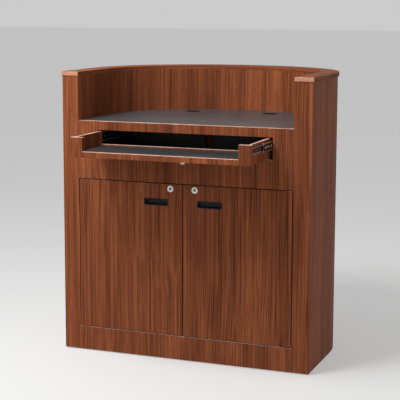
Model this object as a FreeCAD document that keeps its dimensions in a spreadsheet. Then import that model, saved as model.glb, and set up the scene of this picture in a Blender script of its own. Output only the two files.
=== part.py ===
"""Standing-height computer desk: a bowed hollow wall, a worktop, a pull-out keyboard tray, two locking doors.

Frame: +X to the user's right, +Y away from the user, +Z up. The origin is on the floor, under the middle of
the desk with its tray pulled right out. The user's side is flat. The wall runs back from it on both sides and
bows round the far side.
"""

import FreeCAD, Part
import os
import re
import Sketcher

doc = FreeCAD.newDocument("ComputerDesk")

# ---------------------------------------------------------------- driving sizes, in millimetres and degrees
SIZES = [
    ("body_width", 1120, "outside of the wall, side to side"),
    ("body_depth", 825, "front face to the outside of the bow"),
    ("body_height", 1230, "floor to the top of the cap"),
    ("side_straight", 340, "straight run of each side before the bow starts"),
    ("bow_angle", 49, "turn of each corner arc, from the side to the front bow"),
    ("wall_thick", 75, "hollow wall, skin to skin, and the stile that closes its end"),
    ("skin_thick", 10, "bent plywood skin"),
    ("plate_thick", 18, "horizontal plates inside the wall"),
    ("stud_width", 38, "upright studs inside the wall"),
    ("stud_gap", 1, "slack between a flat stud and a curved skin"),
    ("face_thick", 19, "stiles, face panel and kick rail"),
    ("board_ease", 0.5, "eased edge of every visible board"),
    ("cap_thick", 18, "cap on top of the wall"),
    ("cap_overhang", 6, "cap beyond the wall's outside"),
    ("cap_front", 2, "cap beyond the front face"),
    ("cap_corner", 6, "plan radius of the cap's outer front corners"),
    ("cap_ease", 2, "eased edge round the cap's top"),
    ("glide_height", 4, "nylon glides under the wall"),
    ("glide_radius", 14, ""),
    ("fit_gap", 0.5, "slack where a board drops in between fixed faces"),
    ("worktop_height", 1020, "floor to the worktop's surface"),
    ("worktop_thick", 28, "worktop board"),
    ("laminate_thick", 1, "dark sheet on the worktop"),
    ("grommet_radius", 30, "cable grommet's sleeve"),
    ("grommet_bore", 25.5, "cable grommet's clear radius"),
    ("grommet_flange", 3.5, "grommet's rim beyond its sleeve"),
    ("grommet_rim", 2, "rim's thickness, on the board and inside a hole in the sheet"),
    ("grommet_gap", 0.3, "sheet's hole round the rim"),
    ("grommet_side", 190, "each grommet from the middle of the desk"),
    ("grommet_back", 145, "each grommet from the bow's inner skin on the centre line"),
    ("cleat_thick", 19, "battens under the worktop"),
    ("cleat_height", 40, ""),
    ("header_height", 38, "face panel above the tray's opening"),
    ("tray_open_width", 793, ""),
    ("tray_open_height", 94, ""),
    ("fascia_height", 119.5, "face panel below the tray's opening"),
    ("kick_height", 107.5, "floor to the bottom of the door opening"),
    ("cabinet_board", 16, "shelves, deck, hangers and tray bay back"),
    ("floor_thick", 19, "cabinet floor"),
    ("partition_thick", 19, ""),
    ("partition_setback", 2, "partition behind the doors' backs"),
    ("deck_drop", 48, "tray opening's bottom to the top of the deck under it"),
    ("port_radius", 25, "cable port in the back of the tray bay"),
    ("shelf_height", 430, "floor to a shelf's underside"),
    ("shelf_depth", 285, ""),
    ("shelf_setback", 30, "shelf behind the doors' backs"),
    ("pin_radius", 2.5, "shelf pins and door pivot pins"),
    ("shelf_pin_grip", 6, "shelf pin inside its hole"),
    ("shelf_pin_reach", 8, "shelf pin under the shelf"),
    ("door_thick", 19, ""),
    ("door_gap", 3, "gap round a door"),
    ("centre_gap", 3.5, "gap between the doors"),
    ("pivot_inset", 14, "pivot from the door's hinge edge"),
    ("pivot_setback", 6.5, "pivot behind the door's face"),
    ("pivot_depth", 12, "pivot pin inside the case, and bush inside the door"),
    ("pivot_slack", 2, "bush deeper than the pin"),
    ("pivot_plate_length", 36, ""),
    ("pivot_plate_width", 11, ""),
    ("pivot_plate_thick", 2, ""),
    ("pivot_screw_pitch", 12, "pin to the plate's first screw, and from there to its second"),
    ("bush_radius", 4.5, "nylon bush in the door's edge"),
    ("bush_flange", 6, "radius of the bush's thrust flange"),
    ("running_gap", 0.05, "radial clearance of a pin in its bush"),
    ("thrust_gap", 0.3, "bush flange to pivot plate"),
    ("lock_side", 55, "door lock from the middle of the desk"),
    ("lock_drop", 20.5, "door lock below the door's top edge"),
    ("tray_lock_drop", 22, "tray lock below the tray's opening"),
    ("lock_face", 14, "radius of a lock's trim ring"),
    ("lock_ring", 2.5, "trim ring's thickness"),
    ("lock_barrel", 9.5, "radius of a lock's threaded barrel"),
    ("barrel_spare", 1, "barrel beyond its nut"),
    ("lock_hole_gap", 0.15, "barrel in its hole"),
    ("plug_radius", 6.5, "turning plug inside the barrel"),
    ("keyway_width", 1.8, ""),
    ("keyway_height", 8, ""),
    ("keyway_depth", 18, ""),
    ("stud_square", 6, "plug's square tail, which carries the cam"),
    ("cam_gap", 0.3, "barrel's end to the cam"),
    ("cam_thick", 2.5, ""),
    ("cam_width", 14, ""),
    ("door_cam_reach", 38, "door lock's cam, centre to tip"),
    ("nut_across", 13, "lock nut, centre to corner"),
    ("nut_thick", 4, ""),
    ("pull_side", 121, "pull's centre from the middle of the desk"),
    ("pull_drop", 80.5, "pull's centre below the door's top edge"),
    ("pull_width", 110, ""),
    ("pull_height", 30, ""),
    ("pull_rim", 1.2, "pull's flange on the door's face"),
    ("pull_lip", 4, "flange beyond the cup"),
    ("pull_depth", 13, "cup inside the door"),
    ("pull_wall", 1.5, ""),
    ("pull_corner", 5, ""),
    ("magnet_height", 44, "magnetic catch on the partition"),
    ("magnet_width", 12, ""),
    ("magnet_depth", 14, ""),
    ("magnet_drop", 131.5, "catch below the door's top edge"),
    ("catch_plate_thick", 1.5, "steel plate on the door's back"),
    ("catch_gap", 0.4, "catch plate to magnet"),
    ("tray_reach", 262, "tray's front ahead of the face, pulled right out"),
    ("tray_width", 784, "tray's front board"),
    ("tray_depth", 260, "tray, front board to back board, outside"),
    ("tray_height", 82, ""),
    ("tray_lift", 8, "tray above the bottom of its opening"),
    ("tray_front_thick", 19, ""),
    ("tray_side_thick", 12, ""),
    ("tray_back_thick", 14, ""),
    ("tray_floor_thick", 12, ""),
    ("tray_rail_height", 23, "low middle of the tray's front"),
    ("tray_ear", 53.5, "full-height end of the tray's front board"),
    ("tray_floor_drop", 1, "tray's floor below the low middle of its front"),
    ("tray_back_lip", 5, "tray's back rail above its floor"),
    ("tray_notch_radius", 4, "inner corners of the tray's front and back"),
    ("slide_thick", 12.7, "closed slide, tray side to hanger"),
    ("slide_length", 254, ""),
    ("slide_nose", 0.5, "slides behind the tray's front board when it is shut"),
    ("slide_level", 54, "slide's centre above the tray's underside"),
    ("slide_metal", 1.2, "folded steel"),
    ("case_member_height", 45, ""),
    ("middle_member_height", 36, ""),
    ("tray_member_height", 27, ""),
    ("case_member_lip", 9.5, "depth of the case member's flanges"),
    ("middle_member_web", 3.5, "middle member's web from the hanger"),
    ("middle_member_lip", 7.6, ""),
    ("tray_member_lip", 6.8, ""),
    ("ball_gap", 0.3, "slack of a ball between two flanges"),
    ("ball_pitch", 20, ""),
    ("outer_ball_row", 6, "outer balls from the tray's side"),
    ("inner_ball_row", 4, "inner balls from the tray's side"),
    ("retainer_length", 116, "strip that spaces the balls"),
    ("retainer_thick", 0.7, ""),
    ("retainer_lip", 1.4, "retainer's flange beyond its balls' centres"),
    ("retainer_gap", 0.25, "retainer's web to the web or flange beside it"),
    ("screw_head", 4, "radius of a flush screw's head"),
    ("screw_shank", 2, ""),
    ("screw_grip", 9, "screw inside the board"),
    ("screw_inset", 28, "slide screws from each end of their member"),
    ("strike_width", 26, "angle under the tray that the tray lock's cam blocks"),
    ("strike_foot", 16, ""),
    ("strike_leg", 9, ""),
    ("strike_metal", 1.5, ""),
    ("strike_gap", 0.8, "cam to strike when the tray is shut"),
    ("cam_headroom", 2.5, "tray floor above the raised cam"),
]

# ---------------------------------------------------------------- places, worked out from the sizes
LAYOUT = [
    ("front_y", "-(body_depth + cap_overhang - tray_reach) / 2"),
    ("half_width", "body_width / 2"),
    ("inner_half", "half_width - wall_thick"),
    ("wall_height", "body_height - cap_thick - glide_height"),
    ("bow_share", "tan(45 - bow_angle / 2)"),
    ("bow_run", "body_depth - side_straight"),
    ("corner_radius", "(bow_run - half_width * bow_share) / (1 - bow_share)"),
    ("bow_radius", "corner_radius + (half_width - corner_radius) / cos(bow_angle)"),
    ("flush", "0"),
    ("cap_outside", "-cap_overhang"),
    ("cap_start", "-cap_front"),
    ("former_inside", "wall_thick - skin_thick"),
    ("drop_in", "wall_thick + fit_gap"),
    ("plate_pitch", "(wall_height - plate_thick) / 3"),
    ("opening_width", "2 * inner_half"),
    ("tray_open_top", "worktop_height - header_height"),
    ("tray_open_bottom", "tray_open_top - tray_open_height"),
    ("door_open_top", "tray_open_bottom - fascia_height"),
    ("face_height", "worktop_height - door_open_top"),
    ("face_side", "(opening_width - tray_open_width) / 2"),
    ("sheet_z", "worktop_height - laminate_thick"),
    ("worktop_under", "sheet_z - worktop_thick"),
    ("deck_top", "tray_open_bottom - deck_drop"),
    ("deck_under", "deck_top - cabinet_board"),
    ("behind_face", "front_y + face_thick"),
    ("behind_doors", "front_y + door_thick"),
    ("partition_run", "body_depth - wall_thick - door_thick - partition_setback - 2 * fit_gap"),
    ("magnet_level", "door_top - magnet_drop - magnet_height"),
    ("bay_depth", "side_straight - face_thick"),
    ("hanger_inside", "tray_open_width / 2"),
    ("door_width", "inner_half - door_gap - centre_gap / 2"),
    ("door_bottom", "kick_height + door_gap"),
    ("door_top", "door_open_top - door_gap"),
    ("door_height", "door_top - door_bottom"),
    ("pivot_x", "inner_half - door_gap - pivot_inset"),
    ("pivot_y", "front_y + pivot_setback"),
    ("door_lock_z", "door_top - lock_drop"),
    ("pull_z", "door_top - pull_drop"),
    ("tray_lock_z", "tray_open_bottom - tray_lock_drop"),
    ("tray_y", "front_y - tray_reach"),
    ("tray_z", "tray_open_bottom + tray_lift"),
    ("tray_half", "hanger_inside - slide_thick"),
    ("tray_inside", "tray_half - tray_side_thick"),
    ("tray_back_y", "tray_y + tray_depth - tray_back_thick"),
    ("tray_floor_z", "tray_z + tray_rail_height - tray_floor_drop - tray_floor_thick"),
    ("tray_cam_reach", "tray_floor_z - cam_headroom - tray_lock_z"),
    ("slide_z", "tray_z + slide_level"),
    ("slide_y", "front_y + tray_front_thick + slide_nose"),
    ("middle_y", "slide_y - tray_reach / 2"),
    ("tray_slide_y", "slide_y - tray_reach"),
    ("case_web", "slide_thick - slide_metal"),
    ("middle_web", "slide_thick - middle_member_web - slide_metal"),
    ("tray_web", "0"),
    ("tray_lock_length", "face_thick + nut_thick + barrel_spare"),
    ("strike_y", "tray_y + tray_lock_length + cam_gap + cam_thick + strike_gap"),
    ("grommet_y", "front_y + body_depth - wall_thick - grommet_back"),
]

sizes = doc.addObject("Spreadsheet::Sheet", "Sizes")
layout = doc.addObject("Spreadsheet::Sheet", "Layout")
SHEET_OF = {name: "Sizes." for name, _, _ in SIZES}
SHEET_OF.update({name: "Layout." for name, _ in LAYOUT})


def q(text):
    """The same expression, with each named value told which sheet it is on."""
    return re.sub(r"[a-z_]+", lambda word: SHEET_OF.get(word[0], "") + word[0], text)


for row, (name, value, meaning) in enumerate(SIZES, start=1):
    sizes.set(f"A{row}", meaning)
    sizes.set(f"B{row}", str(value))
    sizes.setAlias(f"B{row}", name)
for row, (name, formula) in enumerate(LAYOUT, start=1):
    layout.set(f"A{row}", name)
    layout.setAlias(f"B{row}", name)
doc.recompute()
for row, (name, formula) in enumerate(LAYOUT, start=1):
    layout.set(f"B{row}", "=" + q(formula))
    doc.recompute()


def num(name):
    """A named value as a number, to start a sketch from or to read in a loop."""
    return float((sizes if SHEET_OF[name] == "Sizes." else layout).get(name))


# ---------------------------------------------------------------- helpers
TURN = {
    "x": FreeCAD.Rotation(FreeCAD.Vector(0, 1, 0), 90),
    "y": FreeCAD.Rotation(FreeCAD.Vector(1, 0, 0), -90),
    "z": FreeCAD.Rotation(),
}
SIDES = {"left": -1, "right": 1}
nodes = []


def node(thing, label=None):
    """Marks an object as one of the desk's sub-parts."""
    thing.Label = label or thing.Label
    nodes.append(thing)
    return thing


def bind(thing, prop, text):
    thing.setExpression(prop, q(text))


def place(thing, at):
    for axis, text in zip("xyz", at):
        bind(thing, f"Placement.Base.{axis}", text)
    return thing


def box(label, at, size):
    """A plain box: at is its lowest corner, both are expressions."""
    made = doc.addObject("Part::Box", label)
    for prop, text in zip(("Length", "Width", "Height"), size):
        bind(made, prop, text)
    return place(made, at)


def from_side(side, inner, width):
    """The lowest x of something that starts at inner on the right side, or its mirror image on the left."""
    return inner if side > 0 else f"-({inner}) - ({width})"


def rod(label, at, radius, length, axis="z"):
    made = doc.addObject("Part::Cylinder", label)
    made.Placement = FreeCAD.Placement(FreeCAD.Vector(), TURN[axis])
    bind(made, "Radius", radius)
    bind(made, "Height", length)
    return place(made, at)


def group(label, parts):
    made = doc.addObject("Part::Compound", label)
    made.Links = parts
    return made


def fuse(label, parts):
    made = doc.addObject("Part::MultiFuse", label)
    made.Shapes = parts
    return made


def cut(label, base, *tools):
    made = doc.addObject("Part::Cut", label)
    made.Base = base
    made.Tool = tools[0] if len(tools) == 1 else group(label + "_tools", list(tools))
    return made


def rounded(label, base, radius, wanted=lambda edge: True):
    """base with the wanted straight edges rounded."""
    doc.recompute()
    made = doc.addObject("Part::Fillet", label)
    made.Base = base
    found = [n for n, edge in enumerate(base.Shape.Edges, start=1) if wanted(edge)]
    made.Edges = [(n, radius, radius) for n in found]
    return made


def along(axis):
    """Picks the edges that run along x, y or z."""

    def wanted(edge):
        ends = [v.Point for v in edge.Vertexes]
        if len(ends) < 2:
            return False
        run = ends[1] - ends[0]
        return abs(getattr(run, axis)) > 0.999 * run.Length

    return wanted


def board(label, at, size):
    """A visible board, with its edges eased."""
    return rounded(label, box(label + "_blank", at, size), num("board_ease"))


def plane(body, role):
    return next(f for f in body.Origin.OriginFeatures if f.Role == role)


def new_sketch(body, label, role, lift=None):
    """A sketch on one of the body's own planes, lifted along its normal by an expression."""
    sketch = body.newObject("Sketcher::SketchObject", label)
    sketch.AttachmentSupport = [(plane(body, role), "")]
    sketch.MapMode = "FlatFace"
    if lift:
        bind(sketch, "AttachmentOffset.Base.z", lift)
    return sketch


def new_body(label, at):
    return place(doc.addObject("PartDesign::Body", label), at)


def pad(body, sketch, length):
    made = body.newObject("PartDesign::Pad", sketch.Name + "_pad")
    made.Profile = sketch
    bind(made, "Length", length)
    body.Tip = made
    sketch.Visibility = False
    return made


def rectangle(sketch, x, y, width, height):
    """A rectangle whose lower left corner is at x, y. All four are names of positive values."""
    x0, y0 = num(x), num(y)
    x1, y1 = x0 + num(width), y0 + num(height)
    corners = [FreeCAD.Vector(*c, 0) for c in ((x0, y0), (x1, y0), (x1, y1), (x0, y1))]
    lines = [Part.LineSegment(corners[n], corners[(n + 1) % 4]) for n in range(4)]
    first = sketch.addGeometry(lines, False)[0]
    for n in range(4):
        sketch.addConstraint(Sketcher.Constraint("Coincident", first + n, 2, first + (n + 1) % 4, 1))
        level = "Horizontal" if n % 2 == 0 else "Vertical"
        sketch.addConstraint(Sketcher.Constraint(level, first + n))
    span = [
        ("DistanceX", (first, 1, first, 2), width, x1 - x0),
        ("DistanceY", (first + 1, 1, first + 1, 2), height, y1 - y0),
    ]
    if x0 or y0:
        span += [("DistanceX", (-1, 1, first, 1), x, x0), ("DistanceY", (-1, 1, first, 1), y, y0)]
    else:
        sketch.addConstraint(Sketcher.Constraint("Coincident", -1, 1, first, 1))
    drive(sketch, span)


def drive(sketch, dimensions):
    """Adds dimensions at their present value and binds each to its expression."""
    for kind, places, text, value in dimensions:
        number = sketch.addConstraint(Sketcher.Constraint(kind, *places, value))
        sketch.setExpression(f"Constraints[{number}]", q(text))


def hole(sketch, x, y, radius):
    """A round hole whose centre is at x, y. The arguments are (expression, present value) pairs."""
    ring = Part.Circle(FreeCAD.Vector(x[1], y[1], 0), FreeCAD.Vector(0, 0, 1), radius[1])
    made = sketch.addGeometry(ring, False)
    drive(
        sketch,
        [
            ("DistanceX", (-1, 1, made, 3), *x),
            ("DistanceY", (-1, 1, made, 3), *y),
            ("Radius", (made,), *radius),
        ],
    )


def bow_chain(sketch, inset, start):
    """One open line round the desk's plan, inset from the outside: side, corner arc, bow, corner arc, side.

    The sketch's origin is on the centre line, start behind the front face. Returns the first line's number.
    """
    off, begin = num(inset), num(start)
    x, top = num("half_width") - off, num("side_straight") - begin
    corner, bow = num("corner_radius") - off, num("bow_radius") - off
    turn = FreeCAD.Units.Quantity(num("bow_angle"), FreeCAD.Units.Angle).getValueAs("rad").Value
    half_turn = FreeCAD.Units.Quantity(180, FreeCAD.Units.Angle).getValueAs("rad").Value
    bow_y = num("body_depth") - begin - num("bow_radius")
    corner_x = num("half_width") - num("corner_radius")

    def arc(cx, cy, radius, a, b):
        ring = Part.Circle(FreeCAD.Vector(cx, cy, 0), FreeCAD.Vector(0, 0, 1), radius)
        return Part.ArcOfCircle(ring, a, b)

    first = sketch.addGeometry(
        [
            Part.LineSegment(FreeCAD.Vector(x, 0, 0), FreeCAD.Vector(x, top, 0)),
            arc(corner_x, top, corner, 0, turn),
            arc(0, bow_y, bow, turn, half_turn - turn),
            arc(-corner_x, top, corner, half_turn - turn, half_turn),
            Part.LineSegment(FreeCAD.Vector(-x, top, 0), FreeCAD.Vector(-x, 0, 0)),
        ],
        False,
    )[0]
    for n in range(4):
        sketch.addConstraint(Sketcher.Constraint("Tangent", first + n, 2, first + n + 1, 1))
    sketch.addConstraint(Sketcher.Constraint("Vertical", first))
    sketch.addConstraint(Sketcher.Constraint("PointOnObject", first, 1, -1))
    sketch.addConstraint(Sketcher.Constraint("Symmetric", first, 1, first + 4, 2, -2))
    sketch.addConstraint(Sketcher.Constraint("Symmetric", first, 2, first + 4, 1, -2))
    sketch.addConstraint(Sketcher.Constraint("Equal", first + 1, first + 3))
    drive(
        sketch,
        [
            ("DistanceX", (-1, 1, first, 1), f"half_width - {inset}", x),
            ("DistanceY", (-1, 1, first, 2), f"side_straight - {start}", top),
            ("Radius", (first + 1,), f"corner_radius - {inset}", corner),
            ("Radius", (first + 2,), f"bow_radius - {inset}", bow),
        ],
    )
    return first


def joining_line(sketch, a, b):
    """A line between two points of a sketch, each given as (geometry, end)."""
    ends = [sketch.getPoint(*a), sketch.getPoint(*b)]
    made = sketch.addGeometry(Part.LineSegment(*ends), False)
    sketch.addConstraint(Sketcher.Constraint("Coincident", made, 1, *a))
    sketch.addConstraint(Sketcher.Constraint("Coincident", made, 2, *b))


def bowed(label, outside, inside, start, z, thickness):
    """A piece that follows the plan: a band between two insets, or the whole area when inside is None."""
    body = new_body(label, ("0", f"front_y + {start}", z))
    sketch = new_sketch(body, label + "_plan", "XY_Plane")
    outer = bow_chain(sketch, outside, start)
    if inside is None:
        joining_line(sketch, (outer + 4, 2), (outer, 1))
    else:
        inner = bow_chain(sketch, inside, start)
        joining_line(sketch, (outer, 1), (inner, 1))
        joining_line(sketch, (outer + 4, 2), (inner + 4, 2))
    pad(body, sketch, thickness)
    return body


def on_wall(share, inset="wall_thick / 2"):
    """A point inside the wall's thickness and the direction it faces, as expressions (x, y, angle).

    share runs from -3 to 3: 0 is the bow's middle, 1 its end, 2 the corner arc's start and 3 the front end.
    """
    side, far = (1 if share >= 0 else -1), abs(share)
    sign = "" if side > 0 else "-"
    if far <= 1:
        angle = f"(90 - {far} * (90 - bow_angle))"
        reach, cx = f"(bow_radius - {inset})", "0"
        cy = "front_y + body_depth - bow_radius"
    elif far <= 2:
        angle = f"(bow_angle * (2 - {far}))"
        reach, cx = f"(corner_radius - {inset})", "(half_width - corner_radius)"
        cy = "front_y + side_straight"
    else:
        angle = "0"
        reach, cx = f"(half_width - {inset})", "0"
        cy = f"front_y + side_straight - ({far} - 2) * (side_straight - face_thick)"
    x = f"{sign}({cx} + {reach} * cos({angle}))"
    y = f"{cy} + {reach} * sin({angle})"
    return x, y, angle if side > 0 else f"(180 - {angle})"


# ---------------------------------------------------------------- wall
def wall():
    """Two bent skins on plates and studs, closed by stiles at the user's side and by the cap on top."""
    skins = {"outer_skin": ("flush", "skin_thick"), "inner_skin": ("former_inside", "wall_thick")}
    made = {}
    for label, (outside, inside) in skins.items():
        made[label] = bowed(label + "_band", outside, inside, "face_thick", "glide_height", "wall_height")
    node(made["outer_skin"], "outer_skin")
    plates = []
    for level in range(4):
        z = f"glide_height + {level} * plate_pitch"
        label = "wall_base_plate" if level == 0 else f"wall_plate_{level}"
        plates.append(bowed(label, "skin_thick", "former_inside", "face_thick", z, "plate_thick"))
    node(plates[0])
    node(group("wall_upper_plates", plates[1:]))
    studs = []
    for level in range(3):
        for share in (-2.9, -2.1, -1.4, -0.6, 0, 0.6, 1.4, 2.1, 2.9):
            studs.append(wall_stud(f"stud_{level}_{len(studs)}", share, level))
    node(group("wall_studs", studs))
    for name, side in SIDES.items():
        at = (from_side(side, "inner_half", "wall_thick"), "front_y", "glide_height")
        node(board(f"{name}_stile", at, ("wall_thick", "face_thick", "wall_height")))
    node(wall_cap())
    return made["inner_skin"]


def wall_stud(label, share, level):
    """An upright between two plates, turned to face across the wall."""
    x, y, angle = on_wall(share)
    deep = "(wall_thick - 2 * skin_thick - 2 * stud_gap)"
    stud = doc.addObject("Part::Box", label)
    bind(stud, "Length", deep)
    bind(stud, "Width", "stud_width")
    bind(stud, "Height", "plate_pitch - plate_thick")
    stud.Placement = FreeCAD.Placement(FreeCAD.Vector(), FreeCAD.Rotation(FreeCAD.Vector(0, 0, 1), 30))
    bind(stud, "Placement.Rotation.Angle", angle)
    place(
        stud,
        (
            f"{x} - ({deep} * cos({angle}) - stud_width * sin({angle})) / 2",
            f"{y} - ({deep} * sin({angle}) + stud_width * cos({angle})) / 2",
            f"glide_height + {level} * plate_pitch + plate_thick",
        ),
    )
    return stud


def wall_cap():
    """The cap over the wall, its outer front corners rounded and its top edges eased."""
    z = "body_height - cap_thick"
    blank = bowed("wall_cap_blank", "cap_outside", "wall_thick", "cap_start", z, "cap_thick")
    doc.recompute()
    outside = num("half_width") + num("cap_overhang")
    upright = along("z")

    def front_corner(edge):
        spot = edge.Vertexes[0]
        return upright(edge) and abs(abs(spot.X) - outside) < 0.1 and spot.Y < num("behind_face")

    corners = rounded("wall_cap_corners", blank, num("cap_corner"), front_corner)
    doc.recompute()
    top = num("body_height")

    def on_top(edge):
        return all(abs(v.Z - top) < 0.01 for v in edge.Vertexes)

    return rounded("wall_cap", corners, num("cap_ease"), on_top)


def glides():
    """Nylon discs under the wall's base plate."""
    made = []
    for share in (-2.8, -2, -1.5, -0.5, 0.5, 1.5, 2, 2.8):
        x, y, _ = on_wall(share)
        made.append(rod(f"glide_{len(made)}", (x, y, "0"), "glide_radius", "glide_height"))
    node(group("floor_glides", made))


# ---------------------------------------------------------------- doors
def door_pivots():
    """A plate, pin and two flush screws at each door's bottom and top, let into the case."""
    made, screws = [], []
    for name, side in SIDES.items():
        pin_x = f"{side} * pivot_x"
        for end in ("bottom", "top"):
            up = end == "bottom"
            plate_z = "kick_height - pivot_plate_thick" if up else "door_open_top"
            pin_z = "kick_height - pivot_depth" if up else "door_top - pivot_depth + pivot_slack"
            plate_x = from_side(side, "pivot_x + bush_flange - pivot_plate_length", "pivot_plate_length")
            leaf = box(
                f"{name}_{end}_pivot_plate",
                (plate_x, "pivot_y - pivot_plate_width / 2", plate_z),
                ("pivot_plate_length", "pivot_plate_width", "pivot_plate_thick"),
            )
            pin_length = "2 * pivot_depth - pivot_slack + door_gap"
            pin = rod(f"{name}_{end}_pivot_pin", (pin_x, "pivot_y", pin_z), "pin_radius", pin_length)
            hinge = fuse(f"{name}_{end}_pivot", [leaf, pin])
            hinge_screws = []
            for count in (1, 2):
                x = f"{side} * (pivot_x - {count} * pivot_screw_pitch)"
                label = f"{name}_{end}_pivot_screw_{count}"
                shank_z = "door_open_top + pivot_plate_thick"
                if up:
                    shank_z = "kick_height - pivot_plate_thick - screw_grip"
                head = rod(label + "_head", (x, "pivot_y", plate_z), "screw_head", "pivot_plate_thick")
                shank = rod(label + "_shank", (x, "pivot_y", shank_z), "screw_shank", "screw_grip")
                hinge_screws.append(fuse(label, [head, shank]))
            drill = group(f"{name}_{end}_pivot_screws", hinge_screws)
            made.append(cut(f"{name}_{end}_pivot_plate_drilled", hinge, drill))
            screws.append(drill)
    node(group("door_pivots", made))
    return made, screws


def door_bushes(name, side):
    """The nylon bushes in the door's bottom and top edges, and the solids that bore their seats."""
    bushes, seats = [], []
    x = f"{side} * pivot_x"
    for end in ("bottom", "top"):
        up = end == "bottom"
        sleeve_z = "door_bottom" if up else "door_top - pivot_depth"
        flange_z = "door_bottom - door_gap + thrust_gap" if up else "door_top"
        bore_z = "door_bottom - door_gap" if up else "door_top - pivot_depth"
        sleeve = rod(f"{name}_{end}_sleeve", (x, "pivot_y", sleeve_z), "bush_radius", "pivot_depth")
        flange = rod(f"{name}_{end}_flange", (x, "pivot_y", flange_z), "bush_flange", "door_gap - thrust_gap")
        bore = rod(
            f"{name}_{end}_bore", (x, "pivot_y", bore_z), "pin_radius + running_gap", "pivot_depth + door_gap"
        )
        bushes.append(cut(f"{name}_{end}_bush", fuse(f"{name}_{end}_turned", [sleeve, flange]), bore))
        seats.append(rod(f"{name}_{end}_seat", (x, "pivot_y", sleeve_z), "bush_radius", "pivot_depth"))
    node(group(f"{name}_door_bushes", bushes))
    return seats


def pull(name, side):
    """A black cup let into the door, with a thin rim on its face. Returns the solid that routs its pocket."""
    cup_w, cup_h = "(pull_width - 2 * pull_lip)", "(pull_height - 2 * pull_lip)"

    def centred(label, width, height, y, depth, corner):
        x = f"{side} * pull_side - ({width}) / 2"
        z = f"pull_z - ({height}) / 2"
        blank = box(label + "_blank", (x, y, z), (width, depth, height))
        return rounded(label, blank, corner, along("y"))

    corner = num("pull_corner")
    rim = centred(f"{name}_rim", "pull_width", "pull_height", "front_y - pull_rim", "pull_rim", corner)
    cup = centred(f"{name}_cup", cup_w, cup_h, "front_y", "pull_depth", corner)
    hollow = centred(
        f"{name}_hollow",
        f"{cup_w} - 2 * pull_wall",
        f"{cup_h} - 2 * pull_wall",
        "front_y - pull_rim",
        "pull_rim + pull_depth - pull_wall",
        corner - num("pull_wall"),
    )
    node(cut(f"{name}_pull", fuse(f"{name}_pull_shell", [rim, cup]), hollow))
    return centred(f"{name}_pocket", cup_w, cup_h, "front_y", "pull_depth", corner)


def door(name, side):
    """A flat slab with its pull, lock hole and pivot bushes."""
    slab_x = from_side(side, "centre_gap / 2", "door_width")
    slab = new_body(f"{name}_door_slab", (slab_x, "front_y + door_thick", "door_bottom"))
    sketch = new_sketch(slab, f"{name}_door_outline", "XZ_Plane")
    rectangle(sketch, "flush", "flush", "door_width", "door_height")
    near = num("lock_side") - num("centre_gap") / 2
    lock_x = ("lock_side - centre_gap / 2", near)
    if side < 0:
        lock_x = ("door_width - (lock_side - centre_gap / 2)", num("door_width") - near)
    lock_z = ("door_height - lock_drop", num("door_height") - num("lock_drop"))
    hole(sketch, lock_x, lock_z, ("lock_barrel + lock_hole_gap", num("lock_barrel") + num("lock_hole_gap")))
    pad(slab, sketch, "door_thick")
    doc.recompute()
    eased = rounded(f"{name}_door_eased", slab, num("board_ease"), outline_edge(slab))
    node(cut(f"{name}_door", eased, pull(name, side), *door_bushes(name, side)))
    plate_x = from_side(side, "partition_thick / 2 + fit_gap", "magnet_width")
    node(
        box(
            f"{name}_catch_plate",
            (plate_x, "front_y + door_thick", "magnet_level"),
            ("magnet_width", "catch_plate_thick", "magnet_height"),
        )
    )


def outline_edge(slab):
    """Picks the straight edges on the outside of a slab, not those of its holes."""
    limits = slab.Shape.BoundBox

    def wanted(edge):
        if len(edge.Vertexes) < 2:
            return False
        outside = 0
        for low, high, axis in ((limits.XMin, limits.XMax, "X"), (limits.ZMin, limits.ZMax, "Z")):
            spots = [getattr(v, axis) for v in edge.Vertexes]
            outside += any(all(abs(s - limit) < 0.01 for s in spots) for limit in (low, high))
        return outside >= 1

    return wanted


def door_magnets():
    """A magnetic catch on each side of the partition."""
    made = []
    for name, side in SIDES.items():
        x = from_side(side, "partition_thick / 2", "magnet_width")
        y = "front_y + door_thick + catch_plate_thick + catch_gap"
        size = ("magnet_width", "magnet_depth", "magnet_height")
        made.append(box(f"{name}_magnet", (x, y, "magnet_level"), size))
    node(group("door_magnets", made))


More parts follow.
